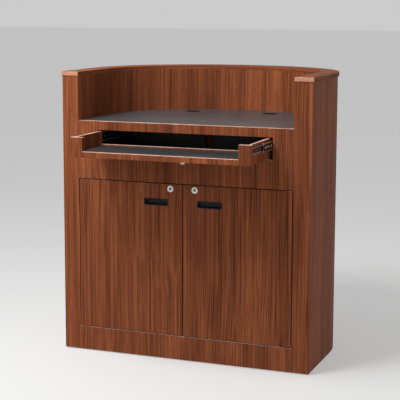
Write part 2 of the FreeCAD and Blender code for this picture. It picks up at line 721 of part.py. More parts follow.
# ---------------------------------------------------------------- locks
def lock(name, x, z, thickness, reach, side):
    """A cam lock in a board: ring, barrel, nut, and a plug that turns the cam from sideways to up."""
    ring_y, length = "front_y - lock_ring", f"({thickness} + nut_thick + barrel_spare)"
    ring = rod(f"{name}_ring", (x, ring_y, z), "lock_face", "lock_ring", "y")
    barrel = rod(f"{name}_barrel", (x, "front_y", z), "lock_barrel", length, "y")
    bore_radius = "plug_radius + running_gap"
    bore = rod(f"{name}_bore", (x, ring_y, z), bore_radius, f"lock_ring + {length}", "y")
    node(cut(f"{name}_body", fuse(f"{name}_turned", [ring, barrel]), bore))

    hexagon = doc.addObject("Part::Prism", f"{name}_hexagon")
    hexagon.Polygon = 6
    hexagon.Placement = FreeCAD.Placement(FreeCAD.Vector(), TURN["y"])
    bind(hexagon, "Circumradius", "nut_across")
    bind(hexagon, "Height", "nut_thick")
    place(hexagon, (x, f"front_y + {thickness}", z))
    thread = rod(f"{name}_thread", (x, f"front_y + {thickness}", z), "lock_barrel", "nut_thick", "y")
    node(cut(f"{name}_nut", hexagon, thread))

    core = rod(f"{name}_core", (x, ring_y, z), "plug_radius", f"lock_ring + {length}", "y")
    tail = box(
        f"{name}_tail",
        (f"{x} - stud_square / 2", f"front_y + {length}", f"{z} - stud_square / 2"),
        ("stud_square", "cam_gap + cam_thick", "stud_square"),
    )
    keyway = box(
        f"{name}_keyway",
        (f"{x} - keyway_width / 2", ring_y, f"{z} - keyway_height / 2"),
        ("keyway_width", "keyway_depth", "keyway_height"),
    )
    node(cut(f"{name}_plug", fuse(f"{name}_turning", [core, tail]), keyway))

    cam_y = f"front_y + {length} + cam_gap"
    arm_x = x if side > 0 else f"{x} - ({reach})"
    arm = box(f"{name}_arm", (arm_x, cam_y, f"{z} - cam_width / 2"), (reach, "cam_thick", "cam_width"))
    hub = rod(f"{name}_hub", (x, cam_y, z), "cam_width / 2", "cam_thick", "y")
    half_hole = "stud_square / 2 + running_gap"
    square = box(
        f"{name}_square",
        (f"{x} - ({half_hole})", cam_y, f"{z} - ({half_hole})"),
        (f"2 * ({half_hole})", "cam_thick", f"2 * ({half_hole})"),
    )
    node(cut(f"{name}_cam", fuse(f"{name}_cam_blank", [arm, hub]), square))


# ---------------------------------------------------------------- case
def case(inner_skin):
    """Face panel, kick rail, floor, partition, shelves and the tray's bay, between the wall's two sides."""
    pivots, pivot_screws = door_pivots()
    let_in = group("pivot_hardware", pivots + pivot_screws)
    case_screws = slide_screws("case")
    node(group("case_screws", [case_screws, *pivot_screws]))
    face = new_body("face_slab", ("-inner_half", "behind_face", "door_open_top"))
    sketch = new_sketch(face, "face_outline", "XZ_Plane")
    rectangle(sketch, "flush", "flush", "opening_width", "face_height")
    rectangle(sketch, "face_side", "fascia_height", "tray_open_width", "tray_open_height")
    hole(
        sketch,
        ("inner_half", num("inner_half")),
        ("fascia_height - tray_lock_drop", num("fascia_height") - num("tray_lock_drop")),
        ("lock_barrel + lock_hole_gap", num("lock_barrel") + num("lock_hole_gap")),
    )
    pad(face, sketch, "face_thick")
    node(cut("face_panel", face, let_in))

    kick = box(
        "kick_blank",
        ("-inner_half", "front_y", "glide_height"),
        ("opening_width", "face_thick", "kick_height - glide_height"),
    )
    node(cut("kick_rail", kick, let_in))

    node(bowed("cabinet_floor", "drop_in", None, "face_thick", "kick_height - floor_thick", "floor_thick"))
    bearers = []
    for share in (-0.6, 0, 0.6):
        x = f"{share} * inner_half - cabinet_board / 2"
        size = ("cabinet_board", "bay_depth", "kick_height - floor_thick - glide_height")
        bearers.append(box(f"bearer_{len(bearers)}", (x, "behind_face", "glide_height"), size))
    node(group("floor_bearers", bearers))

    partition = box(
        "partition_blank",
        ("-partition_thick / 2", "behind_doors + partition_setback", "kick_height"),
        ("partition_thick", "partition_run", "deck_under - kick_height"),
    )
    pins = shelves()
    node(cut("centre_partition", partition, pins))
    node(cut("inner_skin", inner_skin, pins))

    node(
        box(
            "tray_deck",
            ("-inner_half + fit_gap", "behind_face", "deck_under"),
            ("opening_width - 2 * fit_gap", "bay_depth", "cabinet_board"),
        )
    )
    hanger_height = "worktop_under - deck_top"
    hangers = []
    for name, side in SIDES.items():
        x = from_side(side, "hanger_inside", "cabinet_board")
        size = ("cabinet_board", "bay_depth - cabinet_board", hanger_height)
        hangers.append(box(f"{name}_hanger", (x, "behind_face", "deck_top"), size))
    node(cut("tray_hangers", group("hangers", hangers), case_screws))
    back = box(
        "bay_back_blank",
        ("-hanger_inside - cabinet_board", "behind_face + bay_depth - cabinet_board", "deck_top"),
        ("2 * (hanger_inside + cabinet_board)", "cabinet_board", hanger_height),
    )
    port_at = ("0", "behind_face + bay_depth - cabinet_board", "(deck_top + worktop_under) / 2")
    port = rod("cable_port", port_at, "port_radius", "cabinet_board", "y")
    node(cut("tray_bay_back", back, port))


def shelves():
    """One shelf in each half of the cabinet, on four pins. Returns the pins."""
    boards, pins = [], []
    for name, side in SIDES.items():
        inner, outer = "partition_thick / 2 + fit_gap", "inner_half - fit_gap"
        width = f"{outer} - ({inner})"
        at = (from_side(side, inner, width), "behind_doors + shelf_setback", "shelf_height")
        boards.append(box(f"{name}_shelf", at, (width, "shelf_depth", "cabinet_board")))
        pin_length = "shelf_pin_grip + shelf_pin_reach"
        seats = {"partition": "partition_thick / 2 - shelf_pin_grip", "skin": "inner_half - shelf_pin_reach"}
        for seat, x in seats.items():
            for far in (0.2, 0.8):
                y = f"behind_doors + shelf_setback + {far} * shelf_depth"
                spot = (from_side(side, x, pin_length), y, "shelf_height - pin_radius")
                pins.append(rod(f"{name}_{seat}_pin_{len(pins)}", spot, "pin_radius", pin_length, "x"))
    node(group("shelves", boards))
    return node(group("shelf_pins", pins))


def worktop():
    """The board, its dark sheet, the battens that carry it and the two cable grommets."""
    board_holes, sheet_holes, rings = [], [], []
    for name, side in SIDES.items():
        label = f"{name}_grommet"
        low = (f"{side} * grommet_side", "grommet_y", "worktop_under")
        high = (*low[:2], "sheet_z")
        rim_radius = "grommet_radius + grommet_flange"
        board_holes.append(rod(label + "_hole", low, "grommet_radius", "worktop_thick"))
        sheet_holes.append(rod(label + "_rim_hole", high, f"{rim_radius} + grommet_gap", "laminate_thick"))
        sleeve = rod(label + "_sleeve", low, "grommet_radius", "worktop_thick")
        rim = rod(label + "_rim", high, rim_radius, "grommet_rim")
        bore = rod(label + "_bore", low, "grommet_bore", "worktop_thick + grommet_rim")
        rings.append(cut(label, fuse(label + "_blank", [sleeve, rim]), bore))
    top = bowed("worktop_blank", "drop_in", None, "face_thick", "worktop_under", "worktop_thick")
    node(cut("worktop", top, *board_holes))
    sheet = bowed("sheet_blank", "drop_in", None, "face_thick", "sheet_z", "laminate_thick")
    node(cut("worktop_surface", sheet, *sheet_holes))
    node(group("cable_grommets", rings))
    cleats = []
    for name, side in SIDES.items():
        x = from_side(side, "inner_half - cleat_thick", "cleat_thick")
        size = ("cleat_thick", "bay_depth", "cleat_height")
        cleats.append(box(f"{name}_cleat", (x, "behind_face", "worktop_under - cleat_height"), size))
    node(group("worktop_cleats", cleats))


# ---------------------------------------------------------------- screws
def slide_screws(member):
    """Two flush screws through each case member into its hanger, or each tray member into the tray."""
    into_case = member == "case"
    head_x = "tray_half + case_web" if into_case else "tray_half"
    shank_x = "tray_half + slide_thick" if into_case else "tray_half - screw_grip"
    start = "slide_y" if into_case else "tray_slide_y"
    last = "slide_length - screw_inset" if into_case else "tray_depth - tray_front_thick - screw_inset"
    made = []
    for name, side in SIDES.items():
        for count, far in enumerate(("screw_inset", last)):
            label, y = f"{name}_{member}_screw_{count}", f"{start} + {far}"
            head_at = (from_side(side, head_x, "slide_metal"), y, "slide_z")
            shank_at = (from_side(side, shank_x, "screw_grip"), y, "slide_z")
            head = rod(label + "_head", head_at, "screw_head", "slide_metal", "x")
            shank = rod(label + "_shank", shank_at, "screw_shank", "screw_grip", "x")
            made.append(fuse(label, [head, shank]))
    return group(f"{member}_slide_screws", made)


def strike_screw(label, way):
    """An upright flush screw through the strike's foot into the tray's floor."""
    x, y = f"{way} * strike_width / 4", "strike_y + (strike_foot + strike_metal) / 2"
    head = rod(label + "_head", (x, y, "tray_floor_z - strike_metal"), "screw_head", "strike_metal")
    shank = rod(label + "_shank", (x, y, "tray_floor_z"), "screw_shank", "screw_grip")
    return fuse(label, [head, shank])


# ---------------------------------------------------------------- keyboard tray
def notched_board(label, at, width, ear, thickness):
    """A board whose middle is cut down to a low rail between two full-height ears."""
    blank = box(label + "_blank", at, (width, thickness, "tray_height"))
    x, y, z = at
    gap = box(
        label + "_gap",
        (f"{x} + {ear}", y, f"{z} + tray_rail_height"),
        (f"{width} - 2 * {ear}", thickness, "tray_height - tray_rail_height + 1"),
    )
    notched = cut(label + "_notched", blank, gap)
    doc.recompute()
    low = num("tray_z") + num("tray_rail_height")
    across = along("y")

    def inner_corner(edge):
        return across(edge) and abs(edge.Vertexes[0].Z - low) < 0.01

    softened = rounded(label + "_softened", notched, num("tray_notch_radius"), inner_corner)
    doc.recompute()
    smallest = 2 * num("board_ease")
    return rounded(label, softened, num("board_ease"), lambda edge: edge.Length > smallest)


def tray():
    """Front, back, two sides, floor, and the angle that the tray's lock blocks."""
    side_screws = slide_screws("tray")
    strike_screws = group("strike_screws", [strike_screw(f"strike_screw_{way}", way) for way in (-1, 1)])
    node(group("tray_screws", [side_screws, strike_screws]))
    node(notched_board("tray_front", ("-tray_width / 2", "tray_y", "tray_z"), "tray_width", "tray_ear", "tray_front_thick"))
    back_size = ("2 * tray_inside", "tray_back_thick", "tray_floor_thick + tray_back_lip")
    node(board("tray_back", ("-tray_inside", "tray_back_y", "tray_floor_z"), back_size))
    for name, side in SIDES.items():
        x = from_side(side, "tray_inside", "tray_side_thick")
        size = ("tray_side_thick", "tray_depth - tray_front_thick", "tray_height")
        plain = board(f"tray_{name}_plain", (x, "tray_y + tray_front_thick", "tray_z"), size)
        node(cut(f"tray_{name}_side", plain, side_screws))
    floor_depth = "tray_depth - tray_front_thick - tray_back_thick"
    bottom = box(
        "tray_bottom",
        ("-tray_inside", "tray_y + tray_front_thick", "tray_floor_z"),
        ("2 * tray_inside", floor_depth, "tray_floor_thick"),
    )
    node(cut("tray_floor", bottom, strike_screws))
    leg = box(
        "strike_leg_plate",
        ("-strike_width / 2", "strike_y", "tray_floor_z - strike_leg"),
        ("strike_width", "strike_metal", "strike_leg"),
    )
    foot = box(
        "strike_foot_plate",
        ("-strike_width / 2", "strike_y", "tray_floor_z - strike_metal"),
        ("strike_width", "strike_foot", "strike_metal"),
    )
    node(cut("tray_strike", fuse("strike_angle", [leg, foot]), strike_screws))


# ---------------------------------------------------------------- slides
def channel(label, side, member, y, opens):
    """A folded steel channel on one side of the tray: the case, middle or tray member.

    opens is 1 if its flanges point away from the tray and -1 if they point towards it.
    """
    web, lip, height = f"{member}_web", f"{member}_member_lip", f"{member}_member_height"
    flange_low = web if opens > 0 else f"{web} + slide_metal - ({lip})"
    pieces = {
        "web": (web, "slide_metal", f"slide_z - {height} / 2", height),
        "top": (flange_low, lip, f"slide_z + {height} / 2 - slide_metal", "slide_metal"),
        "bottom": (flange_low, lip, f"slide_z - {height} / 2", "slide_metal"),
    }
    made = []
    for piece, (inner, width, z, tall) in pieces.items():
        at = (from_side(side, f"tray_half + {inner}", width), y, z)
        made.append(box(f"{label}_{piece}", at, (width, "slide_length", tall)))
    return fuse(label, made)


def retainer(label, side, web, ball_row, flange_outer, flange_inner, y_centre):
    """A strip bent round the member inside it, with two rows of balls set in its flanges.

    The balls run between flange_inner and flange_outer, heights from the slide's centre line.
    """
    y = f"{y_centre} - retainer_length / 2"
    ball_z = f"({flange_outer} + {flange_inner}) / 2"
    ball_radius = f"({flange_outer} - {flange_inner}) / 2 - ball_gap"
    span = f"2 * {ball_z} + retainer_thick"
    lip = f"({web} + retainer_thick - {ball_row} + retainer_lip)"
    strips = [
        box(
            f"{label}_web",
            (from_side(side, f"tray_half + {web}", "retainer_thick"), y, f"slide_z - ({span}) / 2"),
            ("retainer_thick", "retainer_length", span),
        )
    ]
    balls = []
    for level in (1, -1):
        z = f"slide_z + {level} * {ball_z}"
        at = (from_side(side, f"tray_half + {ball_row} - retainer_lip", lip), y, f"{z} - retainer_thick / 2")
        strips.append(box(f"{label}_flange_{level + 1}", at, (lip, "retainer_length", "retainer_thick")))
        for step in (-2.5, -1.5, -0.5, 0.5, 1.5, 2.5):
            ball = doc.addObject("Part::Sphere", f"{label}_ball_{len(balls)}")
            bind(ball, "Radius", ball_radius)
            place(ball, (f"{side} * (tray_half + {ball_row})", f"{y_centre} + {step} * ball_pitch", z))
            balls.append(ball)
    return fuse(label, strips + balls)


def slides():
    """A full-extension ball slide on each side, drawn pulled right out."""
    case_members, middle_members, tray_members, outer_rows, inner_rows = [], [], [], [], []
    shut_y = "slide_y + slide_length / 2"
    for name, side in SIDES.items():
        case_members.append(channel(f"{name}_case_member", side, "case", "slide_y", -1))
        middle_members.append(channel(f"{name}_middle_member", side, "middle", "middle_y", -1))
        tray_members.append(channel(f"{name}_tray_member", side, "tray", "tray_slide_y", 1))
        outer_rows.append(
            retainer(
                f"{name}_outer_retainer",
                side,
                "(middle_web + slide_metal + 2 * retainer_gap)",
                "outer_ball_row",
                "(case_member_height / 2 - slide_metal)",
                "(middle_member_height / 2)",
                f"({shut_y} - 0.25 * tray_reach)",
            )
        )
        inner_rows.append(
            retainer(
                f"{name}_inner_retainer",
                side,
                "(tray_member_lip + retainer_gap)",
                "inner_ball_row",
                "(middle_member_height / 2 - slide_metal)",
                "(tray_member_height / 2)",
                f"({shut_y} - 0.75 * tray_reach)",
            )
        )
    case_screws = doc.getObject("case_slide_screws")
    tray_screws = doc.getObject("tray_slide_screws")
    node(cut("case_slides", group("case_members", case_members), case_screws))
    node(group("middle_slides", middle_members))
    node(cut("tray_slides", group("tray_members", tray_members), tray_screws))
    node(group("outer_ball_retainers", outer_rows))
    node(group("inner_ball_retainers", inner_rows))


# ---------------------------------------------------------------- the whole desk
inner = wall()
glides()
case(inner)
worktop()
for name, side in SIDES.items():
    door(name, side)
    lock(f"{name}_lock", f"{side} * lock_side", "door_lock_z", "door_thick", "door_cam_reach", side)
door_magnets()
lock("tray_lock", "0", "tray_lock_z", "face_thick", "tray_cam_reach", 1)
tray()
slides()

doc.recompute()
broken = [f"{o.Label}: {o.State}" for o in doc.Objects if {"Invalid", "Error"} & set(o.State)]
if broken:
    raise RuntimeError("failed objects: " + "; ".join(broken))
for part in nodes:
    if part.Shape.isNull() or not part.Shape.isValid() or not part.Shape.Solids:
        raise RuntimeError(f"{part.Label} has no valid solid")

os.makedirs("parts", exist_ok=True)
for part in nodes:
    part.Shape.exportStep(f"parts/{part.Label}.step")
print(len(nodes), "sub-parts written")
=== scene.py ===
# %% [markdown]
# # A standing-height service desk
# The desk is a hollow bowed wall round a worktop, with a keyboard tray that pulls out and two cupboard
# doors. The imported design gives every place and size. This script gives each part its finished shape
# and its finish: wood-grain laminate, charcoal worktop, black plastic, zinc-plated slides, nickel locks.

# %% Load the design
import math

import bmesh
import bpy
import numpy as np
from mathutils import Matrix, Vector
from mathutils.geometry import delaunay_2d_cdt


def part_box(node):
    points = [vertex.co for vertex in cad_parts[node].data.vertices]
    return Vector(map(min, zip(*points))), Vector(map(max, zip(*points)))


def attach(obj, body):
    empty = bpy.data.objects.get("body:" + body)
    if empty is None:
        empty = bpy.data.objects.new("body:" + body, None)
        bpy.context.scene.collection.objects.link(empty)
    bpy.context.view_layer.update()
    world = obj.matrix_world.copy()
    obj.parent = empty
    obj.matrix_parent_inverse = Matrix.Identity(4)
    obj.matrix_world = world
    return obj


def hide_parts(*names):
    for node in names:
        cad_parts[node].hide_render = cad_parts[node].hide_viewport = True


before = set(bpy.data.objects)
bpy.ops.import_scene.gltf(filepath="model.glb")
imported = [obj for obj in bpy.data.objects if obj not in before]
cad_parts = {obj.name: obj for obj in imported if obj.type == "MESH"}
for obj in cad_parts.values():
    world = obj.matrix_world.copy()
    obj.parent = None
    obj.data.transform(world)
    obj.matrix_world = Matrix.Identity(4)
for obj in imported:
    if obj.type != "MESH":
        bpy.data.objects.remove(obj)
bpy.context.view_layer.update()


# %% [markdown]
# ## Outlines
# Nearly every part is a sheet or a bar: an outline with some thickness. An outline here is a closed loop
# of points in a plane, anticlockwise. Corners are rounded with true arcs, because light catches a round
# edge and never a perfectly sharp one.

# %% Outlines with rounded corners
X, Y, Z = 0, 1, 2
MM = 0.001


def rounded(corners, radii, steps=4):
    """A loop through the corners, each replaced by an arc tangent to its two sides.

    The arc's points are centre + radius * direction, and the direction turns evenly from the normal of
    the side before to the normal of the side after.
    """
    corners = np.asarray(corners, float)
    radii = np.broadcast_to(np.asarray(radii, float), len(corners))[:, None]
    before = corners - np.roll(corners, 1, 0)
    after = np.roll(corners, -1, 0) - corners
    before /= np.linalg.norm(before, axis=1)[:, None]
    after /= np.linalg.norm(after, axis=1)[:, None]
    left = before[:, 0] * after[:, 1] - before[:, 1] * after[:, 0]
    side = np.sign(left)[:, None]
    turn = np.arctan2(np.abs(left), (before * after).sum(1))[:, None]
    normal_before = np.stack([-before[:, 1], before[:, 0]], 1)
    normal_after = np.stack([-after[:, 1], after[:, 0]], 1)
    centre = corners - before * radii * np.tan(turn / 2) + side * normal_before * radii
    share = np.linspace(0, 1, steps)[None, :, None]
    turn = turn[:, :, None]
    swing = np.sin((1 - share) * turn) * normal_before[:, None] + np.sin(share * turn) * normal_after[:, None]
    swing /= np.sin(turn)
    return (centre[:, None] - side[:, :, None] * swing * radii[:, :, None]).reshape(-1, 2)


def rectangle(low, high, radius, steps=4):
    """A rounded rectangle between two corners of a plane."""
    (a, b), (c, d) = low, high
    return rounded([(a, b), (c, b), (c, d), (a, d)], radius, steps)


def circle(centre, radius, count=48):
    """centre + radius * (cos, sin) at even angles."""
    angle = np.arange(count) * 2 * np.pi / count
    return np.asarray(centre) + radius * np.stack([np.cos(angle), np.sin(angle)], 1)


def inset(loop, distance):
    """The loop with every side moved inwards: each corner moves along the sum of its two side normals."""
    before = loop - np.roll(loop, 1, 0)
    before /= np.linalg.norm(before, axis=1)[:, None]
    normal = np.stack([-before[:, 1], before[:, 0]], 1)
    following = np.roll(normal, -1, 0)
    stretch = 1 + (normal * following).sum(1)[:, None]
    return loop + distance * (normal + following) / stretch


print("a rounded square has", len(rectangle((0, 0), (1, 1), 0.1)), "points")


# %% [markdown]
# ## Stacks of loops
# A solid is a stack of loops with the same number of points, joined ring to ring, like hoops on a barrel.
# An eased edge is a quarter circle of loops: as the depth grows by ease * (1 - cos), the loop grows to
# its full size by ease * (1 - sin). A sheet with holes is one such wall for each loop, and two flat faces.

# %% Stacks of loops
EDGE_STEPS = 4
EASE_TURN = np.linspace(0, np.pi / 2, EDGE_STEPS)
EASE_IN = 1 - np.sin(EASE_TURN)
EASE_DOWN = 1 - np.cos(EASE_TURN)


def join_rings(rings, joined_up=False, first_face=True, last_face=True):
    """Points and faces of a stack of rings, an array (ring, point, 3).

    joined_up joins the last ring to the first. Otherwise each end can have one flat face.
    """
    count, around = rings.shape[:2]
    index = np.arange(count * around).reshape(count, around)
    lower = index if joined_up else index[:-1]
    upper = np.roll(index, -1, 0) if joined_up else index[1:]
    quads = np.stack([lower, np.roll(lower, -1, 1), np.roll(upper, -1, 1), upper], -1).reshape(-1, 4)
    faces = quads.tolist()
    if first_face and not joined_up:
        faces.append(index[0][::-1].tolist())
    if last_face and not joined_up:
        faces.append(index[-1].tolist())
    return rings.reshape(-1, 3), faces


def lay(loops, depths, axis):
    """Puts each flat loop at its depth along an axis. The loop's two numbers are the other two axes."""
    loops, depths = np.asarray(loops), np.asarray(depths)
    rings = np.empty((*loops.shape[:2], 3))
    across = [a for a in (X, Y, Z) if a != axis]
    rings[..., across[0]], rings[..., across[1]] = loops[..., 0], loops[..., 1]
    rings[..., axis] = depths[:, None]
    return rings


def edge(loop, surface, inwards, ease, grow=1):
    """The loops of one eased edge, from the flat face to the full outline. grow is -1 for a window's edge."""
    loops = [inset(loop, grow * ease * share) for share in EASE_IN]
    return loops, surface + inwards * ease * EASE_DOWN


def together(*parts):
    """Several solids as one set of points and faces."""
    points, faces, start = [], [], 0
    for some_points, some_faces in parts:
        points.append(some_points)
        faces += [np.add(face, start).tolist() for face in some_faces]
        start += len(some_points)
    return np.concatenate(points), faces


print("an eased edge takes", EDGE_STEPS, "loops")


# %% [markdown]
# ## Sheets with holes
# A board with a window, a lock hole or a pocket is still one sheet. Each outline, hole and pocket gets a
# wall of its own, and the flat faces between the walls are filled with triangles. Cutting one mesh from
# another would do it too, but leaves slivers and loses the eased rims of the holes.

# %% Sheets with holes
def filled(loops):
    """A flat face between an outline and the loops inside it, as triangles on the loops' own points.

    The outline and each inner loop are filled, and only triangles that came from the outline alone stay.
    """
    points = np.concatenate(loops)
    ends = np.cumsum([len(loop) for loop in loops])
    shapes = [list(range(end - len(loop), end)) for end, loop in zip(ends, loops)]
    corners, _, faces, _, _, sources = delaunay_2d_cdt(points.tolist(), [], shapes, 1, 1e-7)
    return np.array(corners), [face for face, source in zip(faces, sources) if list(source) == [0]]


def plate(outline, low, high, axis, holes=(), pockets=(), pocket_depth=0.0, ease=0.6 * MM):
    """A sheet from low to high along axis, with eased edges, holes through it and pockets in its low face.

    Each loop's wall is a stack from one face to the other, and filled faces close the sheet.
    """
    parts, near_rims, far_rims = [], [], []
    walls = [(outline, 1, True)]
    walls += [(hole, -1, True) for hole in holes]
    walls += [(pocket, -1, False) for pocket in pockets]
    for loop, grow, through in walls:
        near, near_depth = edge(loop, low, 1, ease, grow)
        if through:
            far, far_depth = edge(loop, high, -1, ease, grow)
        else:
            far, far_depth = [loop], np.array([low + pocket_depth])
        rings = lay(near + far[::-1], [*near_depth, *far_depth[::-1]], axis)
        parts.append(join_rings(rings, first_face=False, last_face=not through))
        near_rims.append(near[0])
        if through:
            far_rims.append(far[0])
    for rims, depth in ((near_rims, low), (far_rims, high)):
        corners, faces = filled(rims)
        parts.append((lay(corners[None], [depth], axis).reshape(-1, 3), faces))
    return together(*parts)


print("a plain board has", len(plate(rectangle((0, 0), (1, 1), 0.01), 0, 0.1, Y)[1]), "faces")


# %% [markdown]
# ## Lathe work
# Lock rings and cable sleeves are round, so each is a section turned about an axis. The section's last
# point can join its first, which makes a ring with a bore through it.

# %% Lathe work
def turned(section, centre, axis, count=48, joined_up=False):
    """A lathe: section is (radius, depth) pairs, and each pair becomes a circle round the axis."""
    loops = [circle((0, 0), radius, count) for radius, _ in section]
    rings = lay(loops, [depth for _, depth in section], axis)
    return join_rings(rings + np.asarray(centre), joined_up)


print("a turned disc has", len(turned([(1, 0), (1, 1)], (0, 0, 0), Z)[1]), "faces")


# %% [markdown]
# ## Shader arithmetic
# A finish is a small sum: this noise times that mask plus a number. Wrapping a socket in a class lets the
# sum be written as one, and every operator adds its own Math node.

# %% Shader arithmetic
class Sum:
    """A shader value that can be added, subtracted, multiplied and clipped like a number."""

    def __init__(self, recipe, socket):
        self.recipe, self.socket = recipe, socket

    def _with(self, operation, first, second):
        return self.recipe.add("ShaderNodeMath", {"operation": operation}, {0: first, 1: second})

    def __add__(self, other):
        return self._with("ADD", self, other)

    def __sub__(self, other):
        return self._with("SUBTRACT", self, other)

    def __rsub__(self, other):
        return self._with("SUBTRACT", other, self)

    def __mul__(self, other):
        return self._with("MULTIPLY", self, other)

    __radd__, __rmul__ = __add__, __mul__


print("sums ready")


# %% [markdown]
# ## Recipes
# Every finish is one material with a Principled shader. A recipe keeps the material at hand and adds the
# few kinds of node that the finishes share, so that a finish reads as a short list of steps.

# %% Recipes
class Recipe:
    """A new material and the few kinds of node that its finish needs."""

    def __init__(self, name, **shader_settings):
        self.material = bpy.data.materials.new(name)
        self.material.use_nodes = True
        self.tree = self.material.node_tree
        self.shader = self.tree.nodes["Principled BSDF"]
        for socket, value in shader_settings.items():
            self.shader.inputs[socket.replace("_", " ")].default_value = value

    def add(self, kind, settings, sockets, output=0):
        node = self.tree.nodes.new(kind)
        for key, value in settings.items():
            if key == "stops":
                self._set_stops(node.color_ramp, value)
            else:
                setattr(node, key, value)
        for socket, value in sockets.items():
            if isinstance(value, Sum):
                self.tree.links.new(value.socket, node.inputs[socket])
            else:
                node.inputs[socket].default_value = value
        return Sum(self, node.outputs[output])

    def _set_stops(self, ramp, stops):
        while len(ramp.elements) < len(stops):
            ramp.elements.new(0.5)
        for element, (place, colour) in zip(ramp.elements, stops):
            element.position, element.color = place, (*colour, 1)

    def place(self, attribute=None):
        """Where the surface is: the piece's own place, or a vector stored on it."""
        if attribute:
            return self.add("ShaderNodeAttribute", {"attribute_name": attribute}, {}, "Vector")
        return self.add("ShaderNodeTexCoord", {}, {}, "Object")

    def stretched(self, vector, scale, shift=None):
        """vector * scale, plus a shift."""
        times = {0: vector, 1: scale}
        made = self.add("ShaderNodeVectorMath", {"operation": "MULTIPLY"}, times)
        if shift is None:
            return made
        return self.add("ShaderNodeVectorMath", {"operation": "ADD"}, {0: made, 1: shift})

    def noise(self, vector, scale, detail=2.0, roughness=0.5):
        """Soft noise, about 0.5 on average, whose features are 1 / scale long on each axis."""
        return self.add(
            "ShaderNodeTexNoise",
            {"noise_dimensions": "3D"},
            {"Vector": self.stretched(vector, scale), "Scale": 1.0, "Detail": detail, "Roughness": roughness},
        )

    def step(self, value, low, high, to_low=0.0, to_high=1.0):
        """value carried from the range low..high to to_low..to_high, held at the ends."""
        sockets = {"Value": value, 1: low, 2: high, 3: to_low, 4: to_high}
        return self.add("ShaderNodeMapRange", {"interpolation_type": "SMOOTHSTEP"}, sockets)

    def ramp(self, value, stops):
        return self.add("ShaderNodeValToRGB", {"stops": stops}, {"Fac": value})

    def mix(self, share, first, second, blend="MIX"):
        settings = {"data_type": "RGBA", "blend_type": blend}
        return self.add("ShaderNodeMix", settings, {0: share, 6: first, 7: second}, 2)

    def relief(self, height, depth):
        """A bump of that depth, in metres."""
        bump = self.add("ShaderNodeBump", {}, {"Height": height, "Distance": depth, "Strength": 1.0})
        self.feed(Normal=bump)

    def feed(self, **values):
        for socket, value in values.items():
            self.tree.links.new(value.socket, self.shader.inputs[socket.replace("_", " ")])


print("recipes ready")


# %% [markdown]
# ## Wood-grain laminate
# The skin of the desk is a satin laminate printed as straight-grained reddish walnut. Grain is noise
# stretched along the grain: broad bands of tone some 50 mm wide, streaks of about 12 mm, fine lines of
# 2 mm and short dark pores. A slow wander bends them so that no line is ruled. Each board stores a number
# that moves the pattern, so that two boards never share a streak.

# %% Wood-grain laminate
WOOD_DARK = (0.070, 0.0200, 0.0100)
WOOD_BROWN = (0.152, 0.0440, 0.0190)
WOOD_RED = (0.218, 0.0640, 0.0265)
WOOD_ORANGE = (0.330, 0.1020, 0.0400)
BROAD, STREAK, LINE, PORE = 18.0, 70.0, 240.0, 900.0
RINGS = 60.0


def wood(name, attribute=None):
    """Laminate whose grain runs up Z, or along the third number of a stored vector."""
    recipe = Recipe(name, Roughness=0.46, IOR=1.10)
    board = recipe.add("ShaderNodeAttribute", {"attribute_name": "board"}, {}, "Fac")
    shift = recipe.add("ShaderNodeCombineXYZ", {}, {0: board * 3.7, 1: board * 2.3, 2: board * 5.1})
    here = recipe.stretched(recipe.place(attribute), (1, 1, 1), shift)
    wander = (recipe.noise(here, (1.6, 1.6, 1.1), 2.0) - 0.5) * 0.035
    bend = recipe.add("ShaderNodeCombineXYZ", {}, {0: wander, 1: wander, 2: 0.0})
    grain = recipe.stretched(here, (1, 1, 1), bend)
    broad = recipe.noise(grain, (BROAD, BROAD, 0.5), 1.0)
    streak = recipe.noise(grain, (STREAK, STREAK, 0.7), 1.5)
    line = recipe.noise(grain, (LINE, LINE, 1.6), 1.5)
    pore = recipe.noise(grain, (PORE, PORE, 25.0), 1.0)
    ring = recipe.add("ShaderNodeMath", {"operation": "SINE"}, {0: broad * RINGS})
    tone = broad * 0.30 + streak * 0.17 + line * 0.53 + ring * 0.024
    stops = [(0.33, WOOD_DARK), (0.44, WOOD_BROWN), (0.53, WOOD_RED), (0.66, WOOD_ORANGE)]
    colour = recipe.ramp(tone, stops)
    dark_line = recipe.step(pore, 0.56, 0.68, 0.0, 0.5)
    recipe.feed(Base_Color=recipe.mix(dark_line, colour, (*WOOD_DARK, 1)))
    recipe.feed(Roughness=recipe.step(streak, 0.3, 0.7, 0.42, 0.54))
    recipe.relief(line - dark_line, 0.00004)
    return recipe.material


laminate = wood("Wood laminate")
laminate_along = wood("Wood laminate along the cap", "grain")
print("laminates:", laminate.name, "and", laminate_along.name)


# %% [markdown]
# The top edges of boards get a thin streaked stripe, paler and pinker than the faces: a painted highlight
# where light catches the edge. The cap's front ends get a darker stripe of the same kind. The doors' edges
# get a near-black one, painted shade in the gaps round the doors.

# %% Edge stripes
def edge_stripe(name, dark, light):
    recipe = Recipe(name, Roughness=0.30, Coat_Weight=0.35, Coat_Roughness=0.12)
    here = recipe.place()
    streak = recipe.noise(here, (28, 28, 420), 2.0)
    recipe.feed(Base_Color=recipe.ramp(streak, [(0.35, dark), (0.65, light)]))
    recipe.relief(streak, 0.00003)
    return recipe.material


# Pale pink stripe for the top edges of boards: a painted highlight where light catches them.
edge_highlight = edge_stripe("Painted edge highlight", (0.60, 0.34, 0.25), (0.88, 0.62, 0.50))
cap_end_stripe = edge_stripe("Darker edge stripe", (0.34, 0.145, 0.080), (0.56, 0.270, 0.165))
# Near-black stripe for the doors' edges: painted shade in the gaps round the doors.
door_gap_shade = edge_stripe("Painted door gap shade", (0.016, 0.005, 0.0025), (0.040, 0.012, 0.005))
print("edge stripes ready")


# %% [markdown]
# ## The plainer finishes
# The worktop is charcoal laminate with a faint fleck and a soft sheen. Carcass boards are black melamine
# with a fine pebble. Bare wood shows only underneath. Plastics have a moulded pebble, zinc plate has
# crystals and fine rolling lines, and the locks are bright nickel.

